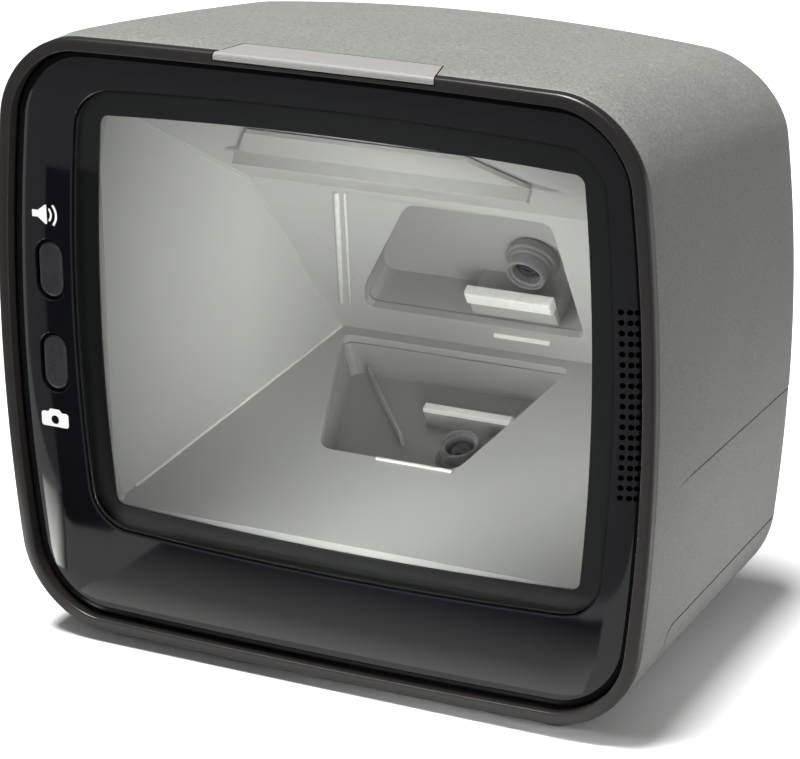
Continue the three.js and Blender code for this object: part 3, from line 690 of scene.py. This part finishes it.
def make_base():
    pan = skin("base_pan", 0, FRONT)
    cut(pan, skin("hollow", WALL, FRONT - 5))
    common(pan, base_block("base_space", 0))
    for node in SCREW_NODES:
        screw = middle_mm(node)
        post = common(rod_z("post", POST_R, screw.x, screw.y, 0, SEAM_Z), skin("limit", 0.4, FRONT))
        join(pan, post)
        hole = rod_z("hole", SCREW_HOLE_R, screw.x, screw.y, -1, SEAM_Z + 1)
        seat = rod_z("seat", SCREW_SEAT_R, screw.x, screw.y, -1, SCREW_SEAT_TOP)
        cut(pan, hole, seat)
    for node in FOOT_NODES:
        foot = middle_mm(node)
        if foot.y > SEAM_FRONT:
            cut(pan, rod_z("foot_seat", FOOT_R + GAP, foot.x, foot.y, -1, FOOT_SEAT_TOP))
    low, high = box_mm("rating_label")
    cut(pan, block("label_seat", low.x - 2, high.x + 2, low.y - 2, high.y + 2, -1, BOTTOM + 1))
    finish_piece(pan, MATERIALS["housing_plastic"], "scanner", "housing_plastic", "base_cover")


# ---- rim and light bar ----
def arc_points(cx, cy, radius, start, end, steps):
    angles = [math.radians(start + (end - start) * k / steps) for k in range(steps + 1)]
    return [(cx + radius * math.cos(a), cy + radius * math.sin(a)) for a in angles]


def make_rim():
    lip_end = RIM_DEPTH + RIM_LIP_DEPTH
    section = arc_points(RIM_FILLET, RIM_FILLET, RIM_FILLET, 180, 270, 6)
    section += arc_points(RIM_WIDTH - RIM_INNER_FILLET, RIM_INNER_FILLET, RIM_INNER_FILLET, 270, 360, 4)
    section += [(RIM_WIDTH, 1.2), (RIM_WIDTH, lip_end), (RIM_WIDTH - RIM_LIP, lip_end)]
    section += [(RIM_WIDTH - RIM_LIP, RIM_DEPTH), (0.2, RIM_DEPTH), (0, RIM_DEPTH - 0.2)]
    rim = loft("rim", [flat_ring(OUTLINE, inset, FRONT + y) for inset, y in section], capped=False)
    cut(rim, bar_block("bar_space", GAP))
    finish_piece(rim, MATERIALS["rim_plastic"], "scanner", "rim_plastic", "front_rim")


def make_light_bar():
    arc = arc_points(RIM_FILLET, RIM_FILLET, RIM_FILLET, 270, 180, 8)
    edge = [(inset, FRONT + y) for inset, y in arc]
    form = slab("light_bar", OUTLINE, (RIM_FILLET + 1, FRONT), *edge, (0, FRONT + 12))
    common(form, bar_block("bar_space", 0))
    finish_piece(form, MATERIALS["light_plastic"], "scanner", "light_plastic", "indicator_light_bar")


# ---- bezel ----
def bezel_edge(z):
    """Half width of the bezel's outline at a height."""
    half_w = WIDTH / 2 - BEZEL_INSET
    return half_w - OUTLINE.bow_x * ((z - MID_Z) / (HEIGHT / 2 - BEZEL_INSET)) ** 2


def grille_cutter():
    holes = []
    for inward in GRILLE_COLUMNS:
        for row in range(GRILLE_ROWS):
            z = GRILLE_TOP - row * GRILLE_PITCH
            holes.append(rod_y("hole", GRILLE_HOLE, bezel_edge(z) - inward, z, FRONT - 2, FRONT + 4))
    first = holes[0]
    with bpy.context.temp_override(active_object=first, selected_editable_objects=holes):
        bpy.ops.object.join()
    return first


def make_bezel():
    plate_back = BEZEL_FACE + BEZEL_PLATE
    sections = [(BEZEL_INSET, BEZEL_BACK), (BEZEL_INSET, BEZEL_FACE + ROLL_DEPTH + 1)]
    steps = 14
    for k in range(steps + 1):
        angle = k / steps * math.pi / 2
        inset = BEZEL_INSET + ROLL_WIDTH * (1 - math.cos(angle))
        sections.append((inset, BEZEL_FACE + ROLL_DEPTH * (1 - math.sin(angle))))
    sections.append((BEZEL_INSET + ROLL_WIDTH + 0.5, BEZEL_FACE))
    bezel = slab("bezel", OUTLINE, *sections)
    hollow_inset = BEZEL_INSET + BEZEL_WALL
    cut(bezel, slab("hollow", OUTLINE, (hollow_inset, plate_back), (hollow_inset, BACK)))
    join(bezel, slab("well", WINDOW, (-GAP - 1.2, plate_back - 1), (-GAP - 1.2, WELL_BACK)))
    opening = slab(
        "opening", WINDOW,
        (-GAP - 1.3, BEZEL_FACE - 1), (-GAP, BEZEL_FACE + 0.3), (-GAP, WELL_BACK - 1.4),
    )
    cut(bezel, opening, slab("ledge", APERTURE, (-1.5, FRONT - 5), (-1.5, BACK)))
    for node in ("volume_button", "camera_button"):
        spot = middle_mm(node)
        rings = []
        for grow, y in ((1.2, BEZEL_FACE - 1), (0, BEZEL_FACE + 0.2), (0, plate_back + 1)):
            width, height = BUTTON_W + 2 * (POCKET_GAP + grow), BUTTON_H + 2 * (POCKET_GAP + grow)
            rings.append(obround_ring(width, height, spot.x, spot.z, y))
        cut(bezel, loft("pocket", rings))
    cut(bezel, grille_cutter())
    finish_piece(bezel, MATERIALS["bezel_gloss"], "scanner", "bezel_gloss", "front_bezel")


def make_window():
    low, high = box_mm("scan_window")
    edge = 0.45
    glass = slab(
        "window_pane", WINDOW, (edge + 0.4, low.y), (edge, low.y), (edge * 0.3, low.y + edge * 0.3),
        (0, low.y + edge), (0, high.y),
    )
    finish_piece(glass, MATERIALS["window_glass"], "scanner", "window_glass", "scan_window")
    low, high = box_mm("window_mask")
    mask = slab("window_border", WINDOW, (0, low.y), (0, high.y))
    cut(mask, slab("hole", APERTURE, (0, low.y - 1), (0, high.y + 1)))
    finish_piece(mask, MATERIALS["mask_black"], "scanner", "mask_black", "window_mask")


# ---- buttons ----
def make_button(node, body):
    low, high = box_mm(node)
    spot = (low + high) / 2
    face = low.y
    flange = BEZEL_FACE + BEZEL_PLATE + GAP
    roll = 0.9
    rings = []
    for grow_w, grow_h, y in ((1, 1.2, flange + 1), (1, 1.2, flange), (0, 0, flange)):
        rings.append(obround_ring(BUTTON_W + 2 * grow_w, BUTTON_H + 2 * grow_h, spot.x, spot.z, y))
    steps = 8
    for k in range(steps + 1):
        angle = k / steps * math.pi / 2
        inset = roll * (1 - math.cos(angle))
        y = face + roll * (1 - math.sin(angle))
        rings.append(obround_ring(BUTTON_W - 2 * inset, BUTTON_H - 2 * inset, spot.x, spot.z, y))
    inset = roll + 0.35
    rings.append(obround_ring(BUTTON_W - 2 * inset, BUTTON_H - 2 * inset, spot.x, spot.z, face))
    cap = loft(f"{node}_cap", rings)
    join(cap, rod_y("stem", 1.6, spot.x, spot.z, flange + 0.9, high.y))
    finish_piece(cap, MATERIALS["button"], body, "inner_black", node)


# ---- printed symbols ----
def ring_sector(name, cx, cz, inner, outer, half_angle, y0, y1, steps=16):
    angles = [math.radians(-half_angle + 2 * half_angle * k / steps) for k in range(steps + 1)]
    points = [(cx + outer * math.cos(a), cz + outer * math.sin(a)) for a in angles]
    points += [(cx + inner * math.cos(a), cz + inner * math.sin(a)) for a in reversed(angles)]
    return extrude_outline(name, points, y0, y1)


INK_BACK = BEZEL_FACE + 0.02
INK_FACE = BEZEL_FACE - 0.05


def speaker_symbol():
    x, z = middle_mm("volume_button").x - 0.35, middle_mm("volume_button").z + 12.3
    horn = [(-3.3, -0.75), (-1.9, -0.75), (-0.1, -2.1), (0.3, -2.1)]
    horn += [(u, -v) for u, v in reversed(horn)]
    pieces = [
        extrude_outline("volume_symbol_horn", [(x + u, z + v) for u, v in horn], INK_FACE, INK_BACK),
        ring_sector("volume_symbol_wave_1", x - 0.6, z, 1.75, 2.2, 42, INK_FACE, INK_BACK),
        ring_sector("volume_symbol_wave_2", x - 0.6, z, 3.0, 3.5, 42, INK_FACE, INK_BACK),
    ]
    for piece in pieces:
        finish_piece(piece, MATERIALS["icon_print"], "scanner", "label_paper")


def camera_symbol():
    x, z = middle_mm("camera_button").x - 0.5, middle_mm("camera_button").z - 12.9
    shape = [(-3.4, -1.5), (-3.0, -1.9), (3.0, -1.9), (3.4, -1.5), (3.4, 1.0), (3.0, 1.4), (1.7, 1.4)]
    shape += [(1.2, 2.1), (-1.2, 2.1), (-1.7, 1.4), (-3.0, 1.4), (-3.4, 1.0)]
    body = extrude_outline("camera_symbol", [(x + u, z + v) for u, v in shape], INK_FACE, INK_BACK)
    cut(body, rod_y("hole", 1.0, x, z - 0.3, INK_FACE - 1, INK_BACK + 1, 32))
    finish_piece(body, MATERIALS["icon_print"], "scanner", "label_paper")


# ---- feet ----
def make_feet():
    for node in FOOT_NODES:
        low, high = box_mm(node)
        spot = (low + high) / 2
        profile = [(FOOT_CORE_R, FOOT_DISH), (FOOT_R - 1.6, FOOT_DISH), (FOOT_R - 1.3, 0)]
        profile += arc_points(FOOT_R - FOOT_ROLL, FOOT_ROLL, FOOT_ROLL, 270, 360, 6)
        profile += [(FOOT_R, high.z), (FOOT_CORE_R, high.z)]
        foot = move(lathe(f"{node}_pad", profile), shift(spot.x, spot.y, 0))
        finish_piece(foot, MATERIALS["soft_rubber"], "scanner", "soft_rubber", node)


# each socket's tongue: its width, thickness and number of pins
CONTACTS = (("power_port", 6.2, 1.4, 3), ("host_port", 8, 1.8, 8), ("aux_port", 9.6, 1.2, 5))


def make_contacts():
    """A tongue in each socket, with its row of contacts."""
    for node, width, thick, count in CONTACTS:
        low, high = box_mm(node)
        x, z = (low.x + high.x) / 2, (low.z + high.z) / 2
        start, top, pitch = x - width / 2, z + thick / 2, width / count
        y0, y1 = low.y + 2, high.y - 1.8
        tongue = block(f"{node}_tongue", start, start + width, y0, y1, z - thick / 2, top)
        finish_piece(tongue, MATERIALS["soft_rubber"], "scanner", "inner_black")
        pins = []
        for k in range(count):
            side = start + pitch * (k + 0.25)
            name = f"{node}_pin_{k + 1}"
            pins.append(block(name, side, side + pitch / 2, low.y + 2.2, high.y - 2.2, top, top + 0.2))
        finish_piece(join(*pins), MATERIALS["steel"], "scanner", "steel")


# ---- the optics cavity ----
class Face:
    """One face of the cavity: X across, Y up the face from its first edge, Z into the cavity."""

    def __init__(self, y, z, far_y, far_z):
        angle = math.atan2(far_z - z, far_y - y)
        self.matrix = shift(CAVITY_X, y, z) @ Matrix.Rotation(angle, 4, "X")

    def at(self, x, y, z):
        return tuple(self.matrix @ (Vector((x, y, z)) * MM) / MM)

    def place(self, piece, x=0.0, y=0.0, z=0.0):
        return move(piece, self.matrix @ shift(x, y, z))


FLOOR = Face(CAVITY_FRONT, FLOOR_FRONT_Z, APEX_Y, APEX_Z)
UPPER = Face(APEX_Y, APEX_Z, KINK_Y, KINK_Z)


def bead(name, start, end, width, height, normal):
    """A round-topped rib that lies on a surface between two points."""
    start, end, normal = Vector(start), Vector(end), Vector(normal).normalized()
    along = (end - start).normalized()
    side = along.cross(normal)
    rings = []
    run_in = along * width * 0.4
    for spot, size in ((start, 0.5), (start + run_in, 1), (end - run_in, 1), (end, 0.5)):
        ring = [spot + sign * side * width / 2 * size - normal * 0.2 for sign in (-1, 1)]
        for k in range(9):
            angle = math.pi * k / 8
            offset = side * math.cos(angle) * width / 2 + normal * math.sin(angle) * height
            ring.append(spot + offset * size)
        rings.append([tuple(p) for p in ring])
    return loft(name, rings)


def wall_point(side, y, z):
    return (CAVITY_X + side * (CAVITY_HALF - CAVITY_NARROWING * (y - CAVITY_FRONT)), y, z)


# the fold at each end of a cavity face: which way it leans, its width and its material
SEAMS = (
    # the floor seam's bead is coloured lighter than the walls as a painted highlight line
    ("floor", 1, 1, "seam"),
    ("upper", 0, 0.6, "chassis_plastic"),
    ("ceiling", -1, 0.8, "chassis_plastic"),
)
SEAM_START = 5.5  # from the cavity's front


def make_seams():
    floor_z = FLOOR_FRONT_Z + (APEX_Z - FLOOR_FRONT_Z) * SEAM_START / (APEX_Y - CAVITY_FRONT)
    ceiling_z = CEILING_FRONT_Z + (KINK_Z - CEILING_FRONT_Z) * SEAM_START / (KINK_Y - CAVITY_FRONT)
    start_y = CAVITY_FRONT + SEAM_START
    path = [(start_y, floor_z), (APEX_Y, APEX_Z), (KINK_Y, KINK_Z), (start_y, ceiling_z)]
    for side, label in ((-1, "left"), (1, "right")):
        for k, (name, lift, width, material) in enumerate(SEAMS):
            start, end = wall_point(side, *path[k]), wall_point(side, *path[k + 1])
            normal = (-side * 0.8, -0.35, lift * 0.6)
            rib = bead(f"{label}_{name}_seam", start, end, width, width * 0.45, normal)
            finish_piece(rib, MATERIALS[material], "scanner", "chassis_plastic")


# each rib up the upper face: where it starts and ends across it, and its width
RIBS = (("cavity_rib", -30.6, -20.9, 1.3), ("cavity_rib_thin", -28.4, -18.9, 0.6))


def make_ribs():
    for name, x0, x1, width in RIBS:
        start, end = UPPER.at(x0, 8.4, 0), UPPER.at(x1, 47, 0)
        rib = bead(name, start, end, width, width * 0.5, UPPER.matrix.col[2].to_3d())
        # the rib's light colour is a painted highlight line
        finish_piece(rib, MATERIALS["seam"], "scanner", "chassis_plastic")
    # a thin strip on the upper face that glows
    strip = UPPER.place(rounded_bar("cavity_glow_strip", length=13.5, width=0.8, height=0.7), 13.6, 5.4)
    finish_piece(strip, MATERIALS["led_and_glint_glow"], "scanner", "light_plastic")
    # a glowing strip along the opening's front edge: a painted highlight, not a lamp
    edge = FLOOR.place(rounded_bar("opening_edge_glint", length=18, width=0.7, height=0.5), 3.8, 27)
    finish_piece(edge, MATERIALS["led_and_glint_glow"], "scanner", "light_plastic")
    start, end = FLOOR.at(-25.5, 63, TRAY_FLOOR + 1), FLOOR.at(-8.1, 43.2, TRAY_FLOOR + 1)
    vane = bead("tray_vane", start, end, 0.8, 4.5, FLOOR.matrix.col[2].to_3d())
    # the vane's light colour is a painted highlight line
    finish_piece(vane, MATERIALS["seam"], "scanner", "inner_black")


def rounded_bar(name, length, width, height):
    """A bar on z = 0, its long side along X, its top edges and ends rounded."""
    rings = []
    for z, inset in ((-0.15, 0), (height * 0.6, 0), (height * 0.88, 0.1), (height, 0.3)):
        inset *= min(width, height)
        x, y = length / 2 - inset, width / 2 - inset
        rings.append([(-x, -y, z), (x, -y, z), (x, y, z), (-x, y, z)])
    return loft(name, rings)


def make_camera_optics(name, face, x, y):
    section = [(3.2, 0.4), (6, 0.4), (6, 2.2), (5.75, 2.5), (5.3, 2.5), (5.2, 3.1), (4.9, 3.4)]
    section += [(4.6, 3.4), (4.6, 5.6), (4.45, 6.2), (4.2, 6.4), (3.95, 6.3), (3.8, 5.7), (3.3, 5.5)]
    section += [(3.2, 5.1)]
    barrel = face.place(lathe(f"{name}_barrel", section, 72, capped=False), x, y, TRAY_FLOOR)
    finish_piece(barrel, MATERIALS["turned"], "scanner", "inner_black", f"{name}_lens_barrel")
    radius, rise, back, edge = 2.9, 1.15, 3.7, 4.2
    dome = [(0.1, back), (radius, back), (radius, edge)]
    for k in range(1, 9):
        reach = 1 - k / 8.5
        dome.append((radius * reach, edge + rise * (1 - reach**2)))
    lens = face.place(lathe(f"{name}_dome", dome), x, y, TRAY_FLOOR)
    finish_piece(lens, MATERIALS["lens_glass"], "scanner", "lens_glass", f"{name}_lens")


def make_led_bars():
    lit = face_strip("upper_led_strip_1", UPPER, (12, 15.3, -3.6), length=20.8, width=3.4, height=2.6)
    dark = face_strip("upper_led_strip_2", UPPER, (12, 11.1, -3.6), length=20.8, width=4.2, height=1.5)
    low = face_strip("lower_led_strip", FLOOR, (4.5, 52.4, -7.3), length=21.4, width=2, height=1.3)
    finish_piece(lit, MATERIALS["led_and_glint_glow"], "scanner", "light_plastic", "upper_led_bar")
    finish_piece(dark, MATERIALS["ceiling"], "scanner", "light_plastic", "upper_led_bar")
    finish_piece(low, MATERIALS["led_and_glint_glow"], "scanner", "light_plastic", "lower_led_bar")


def face_strip(name, face, place, length, width, height):
    """A light strip on a face, with its top edges rounded."""
    rings = []
    for lift, inset in ((0, 0), (height * 0.75, 0), (height * 0.93, 0.12), (height, 0.35)):
        x, y = length / 2 - inset, width / 2 - inset
        rings.append([(-x, -y, lift), (x, -y, lift), (x, y, lift), (-x, y, lift)])
    return face.place(loft(name, rings), *place)


make_housing()
make_base()
make_rim()
make_light_bar()
make_bezel()
make_window()
make_button("volume_button", "volume_press")
make_button("camera_button", "camera_press")
speaker_symbol()
camera_symbol()
make_feet()
make_contacts()
make_seams()
make_ribs()
make_camera_optics("upper", UPPER, 15.7, 20.6)
make_camera_optics("lower", FLOOR, 7.3, 41.6)
make_led_bars()

# ---- CAD nodes that stay ----
KEPT = {
    "chassis_plastic": ("optics_chassis",),
    "tray": ("lower_camera_tray", "upper_camera_tray"),
    "inner_black": ("volume_switch", "camera_switch", "speaker_basket", *PORT_NODES),
    "soft_rubber": ("window_gasket", "speaker_gasket"),
    "mask_black": ("speaker_cone",),
    "ceiling": ("ceiling_diffuser",),
    "circuit_board": (
        "indicator_board", "button_board", "lower_sensor_board", "upper_sensor_board",
        "ceiling_led_board", "main_board",
    ),
    "steel": (
        "volume_switch_plunger", "camera_switch_plunger", "button_board_screw_1", "button_board_screw_2",
        "speaker_magnet", "processor_shield", "board_screw_1", "board_screw_2", "board_screw_3",
        "board_screw_4", *SCREW_NODES, "chassis_screw_1", "chassis_screw_2",
    ),
    "label_paper": ("rating_label",),
    "ribbon_film": ("lower_camera_ribbon", "upper_camera_ribbon"),
}
KEPT_EDGE = 0.25  # the width of the bevel along a kept node's edges
KEPT_WELD = 0.01


def keep_nodes():
    for key, names in KEPT.items():
        for name in names:
            node = NODES[name]
            node.data.materials.clear()
            node.data.materials.append(MATERIALS[key])
            weld = node.modifiers.new("weld", "WELD")
            weld.merge_threshold = KEPT_WELD * MM
            edge = node.modifiers.new("edge", "BEVEL")
            edge.width = KEPT_EDGE * MM
            edge.segments = 2
            edge.limit_method = "ANGLE"
            edge.angle_limit = math.radians(40)
            edge.use_clamp_overlap = True


keep_nodes()


# ---- stage ----
WORLD_FILL = 0.12
SUN_STRENGTH = 6.2
SUN_ANGLE = 20
SUN_PLACE = (-110, -140, 900)
# each hidden area light: its place, target, size, spread and watts
AREA_LIGHTS = (
    ("front_fill", (0, -900, 80), (0, -20, 70), (900, 140), 180, 0.28),
    ("window_fill", (73, -118, 66), (-50, -30, 92), (50, 60), 75, 0.05),
    ("right_fill", (-60, -118, 60), (52, -40, 60), (40, 60), 60, 0.055),
    ("side_fill", (135, 4, 20), (84, 6, 0), (90, 24), 180, 0.03),
)
CAMERA_PLACE = (274.6, -555.7, 281.2)
CAMERA_LENS = 134.5
CAMERA_TURN = (0.463, 0.350, 0.009)  # yaw, pitch and roll


def split_rays(tree, lights, shows, output):
    """The camera sees one shader of a stage surface, and every other ray meets the other."""
    rays = tree.nodes.new("ShaderNodeLightPath")
    blend = tree.nodes.new("ShaderNodeMixShader")
    tree.links.new(rays.outputs["Is Camera Ray"], blend.inputs["Fac"])
    tree.links.new(lights, blend.inputs[1])
    tree.links.new(shows, blend.inputs[2])
    tree.links.new(blend.outputs["Shader"], tree.nodes[output].inputs["Surface"])


def make_floor():
    mesh = bpy.data.meshes.new("floor")
    half = 6
    corners = [(-half, -half, 0), (half, -half, 0), (half, half, 0), (-half, half, 0)]
    mesh.from_pydata(corners, [], [(0, 1, 2, 3)])
    floor = add_object("floor", mesh)
    paint = Paint("floor_paper", (0.95, 0.95, 0.95), 0.6)
    paint.shader.inputs["Specular IOR Level"].default_value = 0.1
    # it bounces less light than it shows
    bounce = paint.node("ShaderNodeBsdfDiffuse", Color=(0.4, 0.4, 0.4, 1))
    split_rays(paint.tree, bounce.outputs["BSDF"], paint.shader.outputs["BSDF"], "Material Output")
    floor.data.materials.append(paint.material)


def make_world():
    """White for the camera and dimmer as a light, so that the sides keep their shade."""
    world = bpy.data.worlds.new("studio")
    bpy.context.scene.world = world
    world.use_nodes = True
    tree = world.node_tree
    fill = tree.nodes["Background"]
    fill.inputs["Color"].default_value = (1, 1, 1, 1)
    fill.inputs["Strength"].default_value = WORLD_FILL
    seen = tree.nodes.new("ShaderNodeBackground")
    seen.inputs["Color"].default_value = (1, 1, 1, 1)
    split_rays(tree, fill.outputs["Background"], seen.outputs["Background"], "World Output")


def aim(piece, place, target):
    piece.location = Vector(place) * MM
    direction = (Vector(target) - Vector(place)).normalized()
    piece.rotation_euler = direction.to_track_quat("-Z", "Y").to_euler()


def make_lights():
    sun = bpy.data.lights.new("key", "SUN")
    sun.energy = SUN_STRENGTH
    sun.angle = math.radians(SUN_ANGLE)
    lamp = add_object("key", sun)
    aim(lamp, SUN_PLACE, (0, 0, 0))
    for name, place, target, size, spread, power in AREA_LIGHTS:
        area = bpy.data.lights.new(name, "AREA")
        area.shape = "RECTANGLE"
        area.size, area.size_y = size[0] * MM, size[1] * MM
        area.energy = power
        area.spread = math.radians(spread)
        lamp = add_object(name, area)
        lamp.visible_camera = lamp.visible_glossy = False
        aim(lamp, place, target)


def only_glossy(piece):
    """Only glossy surfaces see the piece."""
    for kind in ("camera", "diffuse", "shadow", "transmission"):
        setattr(piece, f"visible_{kind}", False)


def make_card(name, x0, x1, y, z0, z1, strength, curve=0.0):
    """A glowing or black card in front, which only the glossy surfaces see."""
    rings = []
    for k in range(25):
        x = x0 + (x1 - x0) * k / 24
        depth = y - curve * (x + 20) ** 2
        rings.append([(x, depth, z0), (x, depth - 1, z0), (x, depth - 1, z1), (x, depth, z1)])
    card = loft(name, rings)
    material = bpy.data.materials.new(name)
    material.use_nodes = True
    tree = material.node_tree
    tree.nodes.remove(tree.nodes["Principled BSDF"])
    glow = tree.nodes.new("ShaderNodeEmission")
    glow.inputs["Color"].default_value = (0.96, 0.98, 1, 1)
    glow.inputs["Strength"].default_value = strength
    tree.links.new(glow.outputs["Emission"], tree.nodes["Material Output"].inputs["Surface"])
    card.data.materials.append(material)
    only_glossy(card)


def make_glow(name, outline_xy, strengths, reach, side=None):
    """A light lying on the floor, which only glossy surfaces see.

    It fades along Y and, where side is given, across it: its direction, and where it starts and ends.
    """
    glow = prism(name, outline_xy, 0.4, 0.8)
    paint = Paint(name, (0, 0, 0), 1, Specular_IOR_Level=0)
    paint.shader.inputs["Emission Color"].default_value = (1, 0.99, 0.95, 1)
    place = paint.node("ShaderNodeTexCoord")
    split = paint.node("ShaderNodeSeparateXYZ")
    paint.link(place.outputs["Object"], split.inputs["Vector"])
    start, end = ((FRONT - distance) * MM for distance in reach)
    strength = paint.spread(split.outputs["Y"], *strengths, start, end)
    if side:
        across = paint.node("ShaderNodeVectorMath", operation="DOT_PRODUCT")
        paint.link(place.outputs["Object"], across.inputs[0])
        across.inputs[1].default_value = side[0]
        share = paint.spread(across.outputs["Value"], 0.0, 1.0, side[1] * MM, side[2] * MM)
        product = paint.node("ShaderNodeMath", operation="MULTIPLY")
        paint.link(strength, product.inputs[0])
        paint.link(share, product.inputs[1])
        strength = product.outputs["Value"]
    paint.link(strength, paint.shader.inputs["Emission Strength"])
    glow.data.materials.append(paint.material)
    only_glossy(glow)


def make_cards():
    make_card("grey_card", -230, 190, FRONT - 62, 0.5, 400, strength=0.3, curve=0.0006)
    make_card("black_flag", -103, -84, FRONT - 53, 0.5, 90, strength=0.004)
    corner = [(-82, FRONT - 15), (-112, FRONT - 66), (-140, FRONT - 44), (-88, FRONT - 9)]
    soft_side = ((-0.862, 0.507, 0), 39.5, 49)
    make_glow("corner_glow", corner, strengths=(1.0, 9.0), reach=(62, 15), side=soft_side)
    sheen = [(-70, FRONT - 6), (-70, FRONT - 55), (60, FRONT - 55), (60, FRONT - 6)]
    make_glow("floor_sheen", sheen, strengths=(0.0, 1.6), reach=(52, 8))


def make_camera():
    """Placed by the angles of a view from the front right and above."""
    yaw, pitch, roll = CAMERA_TURN
    camera = bpy.data.cameras.new("camera")
    camera.sensor_width = 36
    camera.lens = CAMERA_LENS
    camera.clip_end = 50
    eye = add_object("camera", camera)
    flat = math.cos(pitch)
    forward = Vector((-math.sin(yaw) * flat, math.cos(yaw) * flat, -math.sin(pitch)))
    level = Vector((math.cos(yaw), math.sin(yaw), 0))
    down = forward.cross(level)
    right = math.cos(roll) * level + math.sin(roll) * down
    under = -math.sin(roll) * level + math.cos(roll) * down
    turn = Matrix((right, -under, -forward)).transposed().to_4x4()
    eye.matrix_world = Matrix.Translation(Vector(CAMERA_PLACE) * MM) @ turn
    bpy.context.scene.camera = eye


make_floor()
make_world()
make_lights()
make_cards()
make_camera()
bpy.context.scene.view_settings.view_transform = "Standard"
